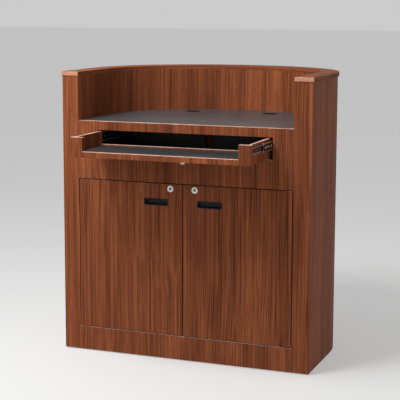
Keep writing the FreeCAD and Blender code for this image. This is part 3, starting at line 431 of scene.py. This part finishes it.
# %% The plainer finishes
def flecked(name, dark, light, size, roughness, depth, **settings):
    """An even material with a fine fleck: noise of that feature size mixes two close colours."""
    recipe = Recipe(name, Roughness=roughness, **settings)
    here = recipe.place()
    fleck = recipe.noise(here, (1 / size,) * 3, 2.0, 0.6)
    cloud = recipe.noise(here, (6, 6, 6), 2.0)
    recipe.feed(Base_Color=recipe.ramp(fleck * 0.85 + cloud * 0.15, [(0.38, dark), (0.62, light)]))
    recipe.feed(Roughness=recipe.step(cloud, 0.3, 0.7, roughness * 0.85, roughness * 1.15))
    recipe.relief(fleck, depth)
    return recipe.material


worktop_finish = flecked(
    "Charcoal laminate", (0.042, 0.044, 0.048), (0.070, 0.073, 0.079),
    size=0.0012, roughness=0.34, depth=0.00001,
)
tray_finish = flecked(
    "Tray laminate", (0.016, 0.017, 0.018), (0.034, 0.035, 0.037),
    size=0.0012, roughness=0.38, depth=0.00003,
)
melamine = flecked(
    "Black melamine", (0.006, 0.006, 0.006), (0.013, 0.013, 0.013),
    size=0.0015, roughness=0.5, depth=0.00005,
)
black_plastic = flecked(
    "Black plastic", (0.0025, 0.0025, 0.003), (0.005, 0.005, 0.006),
    size=0.0006, roughness=0.34, depth=0.00004, Specular_IOR_Level=0.2,
)
nylon = flecked(
    "Black nylon", (0.010, 0.010, 0.010), (0.022, 0.022, 0.022),
    size=0.001, roughness=0.45, depth=0.00003,
)
print("flecked finishes ready:", len(bpy.data.materials), "materials so far")


# %% [markdown]
# Zinc plate on pressed steel grows faint crystals and keeps the fine lines of the rolling mill. A metal is
# mostly its reflections, so only its tone and gloss change, and the lines give it a slight relief. A far
# darker copy of the zinc is painted shade on the slides' sunk webs, and of the nickel on the locks' plugs.

# %% Plated metals
def plated(name, dark, light, roughness, crystal, line_axis):
    """Metal plate: slow crystals change its tone, and fine lines along one axis its gloss."""
    recipe = Recipe(name, Metallic=1.0, Roughness=roughness)
    here = recipe.place()
    spangle = recipe.noise(here, (1 / crystal,) * 3, 2.0, 0.6)
    line_scale = [1500.0] * 3
    line_scale[line_axis] = 12.0
    rolled = recipe.noise(here, tuple(line_scale), 1.0)
    recipe.feed(Base_Color=recipe.ramp(spangle, [(0.35, dark), (0.65, light)]))
    wear = rolled * 0.6 + spangle * 0.4
    recipe.feed(Roughness=recipe.step(wear, 0.3, 0.7, roughness * 0.7, roughness * 1.4))
    recipe.relief(rolled, 0.00002)
    return recipe.material


zinc = plated(
    "Zinc plate", (0.70, 0.70, 0.68), (0.90, 0.90, 0.88),
    roughness=0.32, crystal=0.004, line_axis=Y,
)
# A far darker copy of the zinc: painted shade for the sunk webs and for the strike under the tray.
shaded_zinc = plated(
    "Zinc with painted shade", (0.035, 0.035, 0.035), (0.10, 0.10, 0.095),
    roughness=0.38, crystal=0.004, line_axis=Y,
)
nickel = plated(
    "Nickel plate", (0.66, 0.64, 0.60), (0.84, 0.82, 0.78),
    roughness=0.20, crystal=0.01, line_axis=Z,
)
# A darker copy of the nickel: painted shade for the locks' plugs inside their bright rings.
shaded_nickel = plated(
    "Nickel with painted shade", (0.16, 0.155, 0.15), (0.30, 0.29, 0.28),
    roughness=0.32, crystal=0.003, line_axis=X,
)
print("metals:", zinc.name, shaded_zinc.name, nickel.name, shaded_nickel.name)


# %% [markdown]
# Bare plywood shows only under the worktop and inside the hollow wall. Its chips are short noise stretched
# upright, with darker glue between them.

# %% Bare board
def bare_board():
    """Plywood and chipboard: pale chips with darker glue between them."""
    recipe = Recipe("Bare board", Roughness=0.75)
    here = recipe.place()
    chip = recipe.noise(here, (90, 90, 260), 3.0, 0.65)
    recipe.feed(Base_Color=recipe.ramp(chip, [(0.38, (0.22, 0.13, 0.065)), (0.62, (0.50, 0.35, 0.19))]))
    recipe.relief(chip, 0.0002)
    return recipe.material


bare = bare_board()
print("finishes:", len(bpy.data.materials))


# %% [markdown]
# ## Making a piece
# A piece is a mesh at the origin that rides on one body of the design and takes the place of the plain
# node it stands for. Weighted normals keep the broad faces flat while the eased edges stay round.

# %% Making a piece
pieces_made = []


def piece(name, solid, body, finish, stands_for=(), trim=None, sharp=40):
    """One object from points and faces. trim is (material, test) for faces, tested by centre and normal."""
    points, faces = solid
    mesh = bpy.data.meshes.new(name)
    mesh.from_pydata(points.tolist(), [], faces)
    shell = bmesh.new()
    shell.from_mesh(mesh)
    bmesh.ops.remove_doubles(shell, verts=shell.verts, dist=0.000002)
    bmesh.ops.recalc_face_normals(shell, faces=shell.faces)
    shell.to_mesh(mesh)
    shell.free()
    mesh.polygons.foreach_set("use_smooth", np.ones(len(mesh.polygons), bool))
    mesh.set_sharp_from_angle(angle=math.radians(sharp))
    number = mesh.attributes.new("board", "FLOAT", "POINT")
    number.data.foreach_set("value", np.full(len(mesh.vertices), 1.0 + len(pieces_made)))
    mesh.materials.append(finish)
    if trim:
        mesh.materials.append(trim[0])
        normals, centres = np.empty(len(mesh.polygons) * 3), np.empty(len(mesh.polygons) * 3)
        mesh.polygons.foreach_get("normal", normals)
        mesh.polygons.foreach_get("center", centres)
        chosen = trim[1](centres.reshape(-1, 3), normals.reshape(-1, 3))
        mesh.polygons.foreach_set("material_index", chosen.astype(np.int32))
    made = bpy.data.objects.new(name, mesh)
    bpy.context.scene.collection.objects.link(made)
    made.modifiers.new("Flat faces stay flat", "WEIGHTED_NORMAL").keep_sharp = True
    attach(made, body)
    if stands_for:
        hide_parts(*stands_for)
    pieces_made.append(made)
    return made


print("pieces so far:", len(pieces_made))


# %% [markdown]
# Most boards are plain, so one helper makes a board that fills its node's box. A second tells which faces
# look up, because the top edges of boards get a painted highlight.

# %% Boards
def box_of(node):
    """A node's lowest and highest corner as arrays."""
    low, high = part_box(node)
    return np.array(low), np.array(high)


def board(node, body, finish, slot, axis, ease=0.6 * MM, trim=None, name=None):
    """A plain rectangular board in place of a node, its thickness along axis, its edges eased."""
    low, high = box_of(node)
    across = [a for a in (X, Y, Z) if a != axis]
    loop = rectangle(low[across], high[across], ease)
    solid = plate(loop, low[axis], high[axis], axis, ease=ease)
    return piece(name or node + "_board", solid, body, finish, [node], trim)


def top_faces(centres, normals):
    return normals[:, Z] > 0.7


print("the stiles are", np.round(np.subtract(*box_of("left_stile")[::-1]), 4))


# %% [markdown]
# ## The bowed wall
# Seen from above, the wall is a straight side, a tight corner arc, one long shallow bow, and the same
# again mirrored. The arcs meet tangent to tangent, so a skin bends round them without a crease. The radii
# follow from the width, the depth and the turn of the corner arc.

# %% The plan line
SIDE_STRAIGHT = 0.340
CORNER_TURN = math.radians(49)
stile_low, stile_high = box_of("right_stile")
skin_low, skin_high = box_of("outer_skin")
front_y, face_back_y = stile_low[Y], stile_high[Y]
half_width, inner_half = stile_high[X], stile_low[X]
wall_thick = half_width - inner_half
bend_y = front_y + SIDE_STRAIGHT
bow_run = skin_high[Y] - bend_y
share_of_turn = math.tan(math.pi / 4 - CORNER_TURN / 2)
corner_radius = (bow_run - half_width * share_of_turn) / (1 - share_of_turn)
bow_radius = corner_radius + (half_width - corner_radius) / math.cos(CORNER_TURN)


def plan_line(start_y, side_steps=5, corner_steps=22, bow_steps=60):
    """Places and outward normals along the wall's outside, from the right front round to the left front."""
    right = np.stack([np.full(side_steps, half_width), np.linspace(start_y, bend_y, side_steps)], 1)
    turn = np.linspace(0, CORNER_TURN, corner_steps + 1)[1:]
    sweep = np.linspace(CORNER_TURN, math.pi / 2, bow_steps // 2 + 1)[1:]
    corner_centre = np.array([half_width - corner_radius, bend_y])
    bow_centre = np.array([0, skin_high[Y] - bow_radius])
    corner_way = np.stack([np.cos(turn), np.sin(turn)], 1)
    bow_way = np.stack([np.cos(sweep), np.sin(sweep)], 1)
    places = [right, corner_centre + corner_radius * corner_way, bow_centre + bow_radius * bow_way]
    places = np.concatenate(places)
    ways = np.concatenate([np.tile([1.0, 0.0], (side_steps, 1)), corner_way, bow_way])
    mirror = np.array([-1.0, 1.0])
    return np.concatenate([places, places[-2::-1] * mirror]), np.concatenate([ways, ways[-2::-1] * mirror])


print("corner radius", round(corner_radius, 4), "bow radius", round(bow_radius, 4))


# %% [markdown]
# A skin and the cap are the same job: one upright section carried round the line, square to it all the
# way. The line's own normals turn the section, so its thickness stays true in the bends.

# %% Carrying a section
def carried(section, start_y, ease=0.0):
    """A section, a loop of (outwards, up), carried along the plan line.

    At each end the section shrinks by ease * (1 - sin) over a run of ease * (1 - cos), a rounded end.
    Returns the solid and how far along the line each of its points is.
    """
    places, ways = plan_line(start_y)
    run = np.concatenate([[0], np.cumsum(np.linalg.norm(np.diff(places, axis=0), axis=1))])
    if ease:
        lead = places[:1] + ease * EASE_DOWN[:, None] * np.array([0.0, 1.0])
        tail = (lead * [-1, 1])[::-1]
        places = np.concatenate([lead, places[1:-1], tail])
        first_ways, last_ways = (np.tile(way, (EDGE_STEPS, 1)) for way in (ways[:1], ways[-1:]))
        ways = np.concatenate([first_ways, ways[1:-1], last_ways])
        run = np.concatenate([ease * EASE_DOWN, run[1:-1], (run[-1] - ease * EASE_DOWN)[::-1]])
        shrink = ease * np.concatenate([EASE_IN, np.zeros(len(places) - 2 * EDGE_STEPS), EASE_IN[::-1]])
    else:
        shrink = np.zeros(len(places))
    loops = np.stack([inset(section, distance) if distance else section for distance in shrink])
    rings = np.empty((*loops.shape[:2], 3))
    rings[..., :2] = places[:, None] + ways[:, None] * loops[..., :1]
    rings[..., Z] = loops[..., 1]
    return join_rings(rings), np.repeat(run, loops.shape[1]), loops.reshape(-1, 2)


print("the plan line has", len(plan_line(face_back_y)[0]), "places")


# %% [markdown]
# The two skins are bent plywood under laminate. Their edges are hidden by the stiles and the cap, so the
# section is a plain thin rectangle.

# %% Skins
SKIN = 10 * MM
base_z, top_z = skin_low[Z], skin_high[Z]
outer_section = rectangle((-SKIN, base_z), (0, top_z), 0.5 * MM, 2)
inner_section = rectangle((-wall_thick, base_z), (SKIN - wall_thick, top_z), 0.5 * MM, 2)
outer_wall, _, _ = carried(outer_section, face_back_y)
inner_wall, _, _ = carried(inner_section, face_back_y)
piece("outer_wall", outer_wall, "case", laminate, ["outer_skin"])
piece("inner_wall", inner_wall, "case", laminate, ["inner_skin"])

print("skins", SKIN, "thick, from", round(float(base_z), 4), "to", round(float(top_z), 4))


# %% [markdown]
# The cap is one moulding with softly rounded top edges. Its print runs along the bend, so its points store
# how far across and how far along they lie. The same section is carried along the same line as the skins,
# so the cap follows the wall exactly.

# %% Cap
CAP_UNDER_EDGE, CAP_TOP_EDGE, CAP_END_EASE = 0.6 * MM, 2.5 * MM, 1.2 * MM
cap_low, cap_high = box_of("wall_cap")
overhang = cap_high[X] - half_width
cap_corners = [
    (-wall_thick, cap_low[Z]), (overhang, cap_low[Z]),
    (overhang, cap_high[Z]), (-wall_thick, cap_high[Z]),
]
cap_section = rounded(cap_corners, [CAP_UNDER_EDGE, CAP_UNDER_EDGE, CAP_TOP_EDGE, CAP_TOP_EDGE], 5)
cap_solid, cap_run, cap_across = carried(cap_section, cap_low[Y], CAP_END_EASE)


def cap_ends(centres, normals):
    return (normals[:, Y] < -0.6) & (centres[:, Y] < face_back_y)


cap_trim = (cap_end_stripe, cap_ends)
cap = piece("wall_capping", cap_solid, "case", laminate_along, ["wall_cap"], cap_trim)
grain = cap.data.attributes.new("grain", "FLOAT_VECTOR", "POINT")
grain.data.foreach_set("vector", np.column_stack([cap_across, cap_run]).astype(np.float32).ravel())
print("wall:", sum(len(made.data.polygons) for made in pieces_made), "faces in", len(pieces_made), "pieces")


# %% [markdown]
# ## The flat front
# The front is three thicknesses of 19 mm laminated board in one plane: two stiles, a face panel with the
# tray's window in it, and a kick rail. Their grain stands upright; the panel's and rail's top edges get a
# painted highlight.

# %% Stiles, kick rail and face panel
EDGE = 0.6 * MM
OPENING = (0.3965, 0.888, 0.982)
LOCK_HOLE = 9.65 * MM


def sawn_edges(centres, normals):
    return np.abs(normals[:, Y]) < 0.85


for side in ("left", "right"):
    board(side + "_stile", "case", laminate, "wood_laminate", Y)
# The kick rail's top face gets the pale stripe, a painted highlight.
board("kick_rail", "case", laminate, "wood_laminate", Y, trim=(edge_highlight, top_faces))

tray_lock_low, tray_lock_high = box_of("tray_lock_body")
tray_lock_z = (tray_lock_low[Z] + tray_lock_high[Z]) / 2
panel_low, panel_high = box_of("face_panel")
panel_holes = [
    rectangle((-OPENING[0], OPENING[1]), (OPENING[0], OPENING[2]), EDGE),
    circle((0, tray_lock_z), LOCK_HOLE),
]
panel_outline = rectangle(panel_low[[X, Z]], panel_high[[X, Z]], EDGE)
panel = plate(panel_outline, panel_low[Y], panel_high[Y], Y, panel_holes)
# The panel's top faces get the pale stripe, a painted highlight.
piece("front_panel", panel, "case", laminate, ["face_panel"], (edge_highlight, top_faces))
print("front boards made, panel height", round(float(panel_high[Z] - panel_low[Z]), 4))


# %% [markdown]
# ## Doors, pulls and locks
# A flush pull is one moulding: a flat flange on the door's face and a cup behind it, whose mouth and floor
# are well rounded. Fingers reach into the cup. As a stack of loops it needs no cutting of one solid from
# another, and its curves stay smooth.

# %% Flush pulls
CUP_LIP, CUP_WALL, CUP_FLOOR_CURVE = 4 * MM, 1.5 * MM, 3.2 * MM


def middle(node):
    low, high = box_of(node)
    return (low + high) / 2


def shrunk(low, high, by, radius, steps=8):
    return rectangle((low[X] + by, low[Z] + by), (high[X] - by, high[Z] - by), radius, steps)


def flush_pull(node):
    """A stack of rounded rectangles: up the outside of the cup, round the flange and down into the cup."""
    low, high = box_of(node)
    cup_back, face = high[Y], front_y
    flange = shrunk(low, high, 0, 5 * MM)
    cup = shrunk(low, high, CUP_LIP + 0.2 * MM, 4.8 * MM)
    mouth = shrunk(low, high, CUP_LIP + CUP_WALL, 3.5 * MM)
    loops = [inset(cup, 1 * MM), cup, cup, flange]
    depths = [cup_back, cup_back - 1 * MM, face, face]
    rim, rim_depth = edge(flange, low[Y], 1, 0.7 * MM)
    lip, lip_depth = edge(mouth, low[Y], 1, 1.3 * MM, -1)
    loops, depths = loops + rim[::-1] + lip, [*depths, *rim_depth[::-1], *lip_depth]
    turn = np.linspace(0, np.pi / 2, 7)
    loops += [inset(mouth, CUP_FLOOR_CURVE * (1 - math.cos(t))) if t else mouth for t in turn]
    depths += list(cup_back - CUP_WALL - CUP_FLOOR_CURVE * (1 - np.sin(turn)))
    return join_rings(lay(loops, depths, Y))


pulls = {side: flush_pull(side + "_pull") for side in ("left", "right")}
print("a flush pull has", len(pulls["left"][1]), "faces")


# %% [markdown]
# Each door is a laminated board with a pocket for its flush pull and a hole for its lock. All four edges
# get a near-black stripe, painted shade that draws the thin black lines of the gaps round the doors.

# %% Doors
DOOR_CORNER, DOOR_EASE = 1.5 * MM, 1.2 * MM
POCKET_CORNER, POCKET_DEPTH = 5 * MM, 13.2 * MM

for side in ("left", "right"):
    door_low, door_high = box_of(side + "_door")
    pull_low, pull_high = box_of(side + "_pull")
    lock_at = middle(side + "_lock_body")
    pocket = shrunk(pull_low, pull_high, CUP_LIP, POCKET_CORNER)
    door_board = plate(
        rectangle(door_low[[X, Z]], door_high[[X, Z]], DOOR_CORNER),
        door_low[Y],
        door_high[Y],
        Y,
        holes=[circle(lock_at[[X, Z]], LOCK_HOLE)],
        pockets=[pocket],
        pocket_depth=POCKET_DEPTH,
        ease=DOOR_EASE,
    )
    door, pull = side + "_door", side + "_pull"
    # The door's narrow edges get the near-black stripe, painted shade of the gaps round the doors.
    piece(door + "_slab", door_board, door, laminate, [door], (door_gap_shade, sawn_edges))
    piece(side + "_flush_pull", pulls[side], door, black_plastic, [pull])
print("doors", np.round(door_high - door_low, 4))


# %% [markdown]
# A cam lock shows a domed bright ring and a plug with a keyway. Both are lathe work. The plug turns inside
# the ring, so it is a piece of its own that rides on the lock's own body.

# %% Lock rings and plugs
PLUG_RADIUS, PLUG_LENGTH = 6.5 * MM, 26.5 * MM
KEYWAY_HALF_WIDTH, KEYWAY_HALF_HEIGHT, KEYWAY_DEPTH = 0.9 * MM, 4 * MM, 8 * MM
TAIL_HALF = 3 * MM


def lock_ring(node):
    """A lathe section: barrel, flat under the ring, domed rim, a shallow step, and the bore."""
    low, high = box_of(node)
    front, back = low[Y], high[Y]
    centre = middle(node) * [1, 0, 1]
    section = [
        (6.6, back), (9.5, back), (9.5, front_y), (14.0, front_y), (14.0, front + 1.0 * MM),
        (13.8, front + 0.5 * MM), (13.3, front + 0.15 * MM), (12.5, front), (10.4, front),
        (10.0, front + 0.15 * MM), (9.8, front + 0.5 * MM), (7.6, front + 0.5 * MM),
        (7.0, front + 0.35 * MM), (6.7, front + 0.5 * MM), (6.6, front + 0.9 * MM),
    ]
    return turned([(radius * MM, depth) for radius, depth in section], centre, Y, 64, joined_up=True)


def lock_plug(node):
    """A disc with a keyway pocket, and behind it the square tail that carries the cam."""
    low, high = box_of(node)
    x, _, z = middle(node)
    back = low[Y] + PLUG_LENGTH
    keyway = rectangle(
        (x - KEYWAY_HALF_WIDTH, z - KEYWAY_HALF_HEIGHT),
        (x + KEYWAY_HALF_WIDTH, z + KEYWAY_HALF_HEIGHT),
        0.7 * MM,
    )
    face = low[Y] + 0.1 * MM
    core = plate(circle((x, z), PLUG_RADIUS, 64), face, back, Y, (), [keyway], KEYWAY_DEPTH, 0.5 * MM)
    tail_outline = rectangle((x - TAIL_HALF, z - TAIL_HALF), (x + TAIL_HALF, z + TAIL_HALF), 0.4 * MM)
    tail = plate(tail_outline, back, high[Y], Y, ease=0.3 * MM)
    return together(core, tail)


print("a lock's ring has", len(lock_ring("tray_lock_body")[1]), "faces")


# %% [markdown]
# The inside of a keyway is dark, because no light reaches its bottom. A test on where a face lies picks
# the pocket's walls, and they get the black finish.

# %% Locks
def in_keyway(node):
    """True for faces near the plug's middle line and just behind its front."""
    x, _, z = middle(node)
    front = box_of(node)[0][Y]

    def test(centres, normals):
        near = np.hypot(centres[:, X] - x, centres[:, Z] - z) < 5 * MM
        return near & (centres[:, Y] > front + 1 * MM) & (centres[:, Y] < front + 9 * MM)

    return test


for lock, body in (("left_lock", "left_door"), ("right_lock", "right_door"), ("tray_lock", "case")):
    piece(lock + "_ring", lock_ring(lock + "_body"), body, nickel, [lock + "_body"])
    plug = lock + "_plug"
    dark_keyway = (black_plastic, in_keyway(plug))
    # The plug and its tail get the darker nickel, painted shade inside the bright ring.
    piece(lock + "_barrel", lock_plug(plug), lock, shaded_nickel, [plug], dark_keyway)
print("locks made")


# %% [markdown]
# ## The keyboard tray
# The tray is an open box. Its front is a board with a low middle and two full-height ears, which a jigsaw
# would cut from one piece, and its back is a plain low rail. The boards' top edges get a pale painted
# highlight.

# %% The tray's boards
# Pale stripe on the tray boards' top faces: a painted highlight.
TRAY_EDGE_HIGHLIGHT = (edge_highlight, top_faces)
TRAY_EAR, TRAY_RAIL, TRAY_NOTCH = 53.5 * MM, 23 * MM, 4 * MM


def notched(node):
    """An upright board whose outline steps down between its two ears, with rounded inner corners."""
    low, high = box_of(node)
    left, right, bottom, top = low[X], high[X], low[Z], high[Z]
    rail = bottom + TRAY_RAIL
    corners = [
        (left, bottom), (right, bottom), (right, top), (right - TRAY_EAR, top),
        (right - TRAY_EAR, rail), (left + TRAY_EAR, rail), (left + TRAY_EAR, top), (left, top),
    ]
    radii = [1 * MM, 1 * MM, 1.5 * MM, 1.5 * MM, TRAY_NOTCH, TRAY_NOTCH, 1.5 * MM, 1.5 * MM]
    return plate(rounded(corners, radii, 6), low[Y], high[Y], Y)


front_board = notched("tray_front")
piece("tray_front_board", front_board, "tray", laminate, ["tray_front"], TRAY_EDGE_HIGHLIGHT)
board("tray_back", "tray", laminate, "wood_laminate", Y, trim=TRAY_EDGE_HIGHLIGHT)
for side in ("left", "right"):
    board("tray_" + side + "_side", "tray", laminate, "wood_laminate", X, 0.8 * MM, TRAY_EDGE_HIGHLIGHT)
board("tray_floor", "tray", tray_finish, "dark_laminate", Z, 0.5 * MM)
print("tray boards made")


# %% [markdown]
# Each ball slide is three steel channels, one inside the other. A channel's web is pressed with slots, and
# its folded flanges are round on their edges. The sunk webs get painted shade; the bends stay bright zinc.

# %% A slide's channel
BEND, SHEET = 4 * MM, 1.2 * MM


def channel(node, lip, web_outside, slots):
    """A web with slots and two flanges, on both sides of the desk.

    The web is the outer or the inner face of the node's box, and lip is how wide its flanges are.
    """
    low, high = box_of(node)
    outer = high[X]
    inner = outer - lip
    web_low = outer - SHEET if web_outside else inner
    slots_made = [
        rectangle((y - length / 2, z - tall / 2), (y + length / 2, z + tall / 2), tall * 0.49, 6)
        for z in [(low[Z] + high[Z]) / 2]
        for y, length, tall in slots
    ]
    web_loop = rectangle((low[Y], low[Z] + BEND), (high[Y], high[Z] - BEND), 0.4 * MM)
    web = plate(web_loop, web_low, web_low + SHEET, X, slots_made, ease=0.2 * MM)
    bend_loops = [rectangle((low[Y], z), (high[Y], z + BEND), 0.4 * MM) for z in (low[Z], high[Z] - BEND)]
    bends = [plate(loop, web_low, web_low + SHEET, X, ease=0.2 * MM) for loop in bend_loops]
    flange_loop = rectangle((inner, low[Y]), (outer, high[Y]), 0.8 * MM)
    flanges = [plate(flange_loop, z, z + SHEET, Z, ease=0.4 * MM) for z in (low[Z], high[Z] - SHEET)]
    right = together(web, *bends, *flanges)
    left = (right[0] * [-1, 1, 1], right[1])
    return together(right, left)


def along(node, shares, length, tall):
    """Slots of one size at shares of the node's length."""
    low, high = box_of(node)
    return [(low[Y] + share * (high[Y] - low[Y]), length, tall) for share in shares]


def web_faces(node):
    """True for the flat of a web, between its two bends."""
    low, high = box_of(node)

    def test(centres, normals):
        between = (centres[:, Z] > low[Z] + BEND) & (centres[:, Z] < high[Z] - BEND)
        return between & (np.abs(normals[:, X]) > 0.7)

    return test


print("channels use", SHEET, "sheet with bends", BEND, "tall")


# %% [markdown]
# The case's member is widest, the middle member runs inside it, and the tray's member is the innermost,
# with its web towards the tray. Their slots stand at even shares of their length, as a press leaves them.

# %% Ball slides
slide_kinds = [
    ("case_slides", "case", 9.5 * MM, True, 22 * MM, 7 * MM, (0.24, 0.38, 0.62, 0.76)),
    ("middle_slides", "slide_middles", 7.6 * MM, True, 22 * MM, 9 * MM, (0.1, 0.24, 0.38, 0.55, 0.72, 0.88)),
    ("tray_slides", "tray", 6.8 * MM, False, 18 * MM, 6 * MM, (0.2, 0.32, 0.44, 0.6, 0.78, 0.9)),
]
for node, body, lip, outside, length, tall, shares in slide_kinds:
    member = channel(node, lip, outside, along(node, shares, length, tall))
    # The flat of each web gets the darker zinc: painted shade between the flanges.
    piece(node + "_rolled", member, body, zinc, [node], (shaded_zinc, web_faces(node)))
print("slide members:", len(slide_kinds))


# %% [markdown]
# ## Cable grommets
# Two round openings near the back of the worktop have a plastic sleeve with a flat flange, again lathe
# work: one closed section turned about each opening's axis.

# %% Cable grommets
GROMMET_RIM = 33.5
grommet_low, grommet_high = box_of("cable_grommets")
sleeve_x = grommet_high[X] - GROMMET_RIM * MM
sleeve_y = (grommet_low[Y] + grommet_high[Y]) / 2
bottom_z, rim_z = grommet_low[Z], grommet_high[Z]
grommet_section = [
    (25.5, bottom_z), (29.9, bottom_z), (29.9, rim_z - 2 * MM), (GROMMET_RIM, rim_z - 2 * MM),
    (GROMMET_RIM, rim_z - 0.6 * MM), (33.3, rim_z - 0.2 * MM), (32.9, rim_z), (26.7, rim_z),
    (25.9, rim_z - 0.3 * MM), (25.5, rim_z - 1.2 * MM),
]
section_metres = [(radius * MM, depth) for radius, depth in grommet_section]
grommets = [
    turned(section_metres, (way * sleeve_x, sleeve_y, 0), Z, 64, joined_up=True)
    for way in (-1, 1)
]
piece("grommet_sleeves", together(*grommets), "case", black_plastic, ["cable_grommets"])
print("grommets at", round(float(sleeve_x), 3), round(float(sleeve_y), 3))


# %% [markdown]
# ## Finishes for the remaining parts
# The other parts already have their true shape in the design, so they keep it and get a finish.

# %% Finishes for the remaining parts
finish_of = {
    bare: "wall_base_plate wall_upper_plates wall_studs floor_bearers worktop worktop_cleats",
    melamine: "cabinet_floor centre_partition shelves tray_deck tray_hangers tray_bay_back",
    worktop_finish: "worktop_surface",
    black_plastic: "door_magnets",
    nylon: "floor_glides left_door_bushes right_door_bushes",
    zinc: "door_pivots case_screws tray_screws shelf_pins outer_ball_retainers inner_ball_retainers"
    " left_catch_plate right_catch_plate left_lock_cam right_lock_cam tray_lock_cam left_lock_nut"
    " right_lock_nut tray_lock_nut",
    # The strike under the tray gets the darker zinc: painted shade under the tray.
    shaded_zinc: "tray_strike",
}
finished = [(name, finish) for finish, names in finish_of.items() for name in names.split()]
for name, finish in finished:
    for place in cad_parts[name].material_slots:
        place.material = finish
print(len(finished), "design parts finished,", len(pieces_made), "new pieces")


# %% [markdown]
# ## Floor
# The desk stands on a plain pale floor. It glows faintly, as a floor in a white studio does where light
# comes back from all sides.

# %% Floor
FLOOR_GLOW = 0.34


def floor_sheet(half, count=3):
    """A flat grid: x and y run evenly from -half to half."""
    line = np.linspace(-half, half, count)
    rings = np.stack([*np.meshgrid(line, line), np.zeros((count, count))], -1)
    index = np.arange(count * count).reshape(count, count)
    quads = np.stack([index[:-1, :-1], index[:-1, 1:], index[1:, 1:], index[1:, :-1]], -1)
    mesh = bpy.data.meshes.new("floor")
    mesh.from_pydata(rings.reshape(-1, 3).tolist(), [], quads.reshape(-1, 4).tolist())
    return mesh


floor_finish = Recipe("Pale floor", Base_Color=(0.45, 0.45, 0.45, 1), Roughness=0.8, Specular_IOR_Level=0.2)
floor_finish.shader.inputs["Emission Color"].default_value = (1.0, 1.0, 1.0, 1)
floor_finish.shader.inputs["Emission Strength"].default_value = FLOOR_GLOW
floor = bpy.data.objects.new("floor", floor_sheet(60.0))
floor.data.materials.append(floor_finish.material)
bpy.context.scene.collection.objects.link(floor)
print("floor", tuple(round(d) for d in floor.dimensions))


# %% [markdown]
# ## Sky
# A white sky fills the shadows. It is brightest at the horizon and falls off upwards, so that upright
# faces are lit a little more than the worktop and the floor.

# %% Sky
AT_HORIZON, OVERHEAD = 0.60, 0.38
sky = bpy.data.worlds.new("White sky")
sky.use_nodes = True
sky_light = sky.node_tree.nodes["Background"]
direction = sky.node_tree.nodes.new("ShaderNodeTexCoord")
height = sky.node_tree.nodes.new("ShaderNodeSeparateXYZ")
fade = sky.node_tree.nodes.new("ShaderNodeMapRange")
fade.inputs["From Max"].default_value = 0.5
fade.inputs["To Min"].default_value = AT_HORIZON
fade.inputs["To Max"].default_value = OVERHEAD
sky.node_tree.links.new(direction.outputs["Generated"], height.inputs["Vector"])
sky.node_tree.links.new(height.outputs["Z"], fade.inputs["Value"])
sky.node_tree.links.new(fade.outputs["Result"], sky_light.inputs["Strength"])
sky_light.inputs["Color"].default_value = (1.0, 1.0, 1.0, 1)
bpy.context.scene.world = sky
print("sky", AT_HORIZON, "to", OVERHEAD)


# %% [markdown]
# ## Lamps
# One wide soft lamp above and in front, a little to the left, gives the shape. A weak one far to the left
# lifts the left stile. Both are large squares, because small lamps draw hard shadows.

# %% Lamps
def soft_lamp(name, at, aim, size, power):
    """A square lamp at a place, turned to face a point."""
    lamp = bpy.data.lights.new(name, "AREA")
    lamp.size, lamp.energy = size, power
    holder = bpy.data.objects.new(name, lamp)
    holder.location = at
    holder.rotation_euler = (Vector(aim) - Vector(at)).to_track_quat("-Z", "Y").to_euler()
    bpy.context.scene.collection.objects.link(holder)


soft_lamp("top lamp", (-0.8, -1.5, 3.3), (-0.1, 0.1, 0.8), 1.2, 108)
soft_lamp("left lamp", (-2.2, -2.8, 2.6), (-0.2, 0, 0.7), 1.6, 12)
print("lights:", len(bpy.data.lights))


# %% [markdown]
# ## Camera
# The camera stands a little to the right of the middle, about 5 metres away, at the height of a standing
# person's chest, and looks slightly down. A long lens keeps the uprights parallel.

# %% Camera
bearing, dip, roll = math.radians(21.47), math.radians(8.09), math.radians(0.09)
camera_data = bpy.data.cameras.new("camera")
camera_data.lens, camera_data.sensor_width = 108.8, 36.0
camera_data.shift_x, camera_data.shift_y = 0.0258, -0.0658
camera = bpy.data.objects.new("camera", camera_data)
turned_left = Matrix.Rotation(bearing, 4, "Z")
tipped_down = Matrix.Rotation(math.pi / 2 - dip, 4, "X")
aim = turned_left @ tipped_down @ Matrix.Rotation(roll, 4, "Z")
camera.matrix_world = Matrix.Translation((1.870, -4.9565, 1.528)) @ aim
bpy.context.scene.collection.objects.link(camera)
bpy.context.scene.camera = camera
bpy.context.scene.view_settings.view_transform = "Standard"
print("camera", [round(c, 3) for c in camera.location])
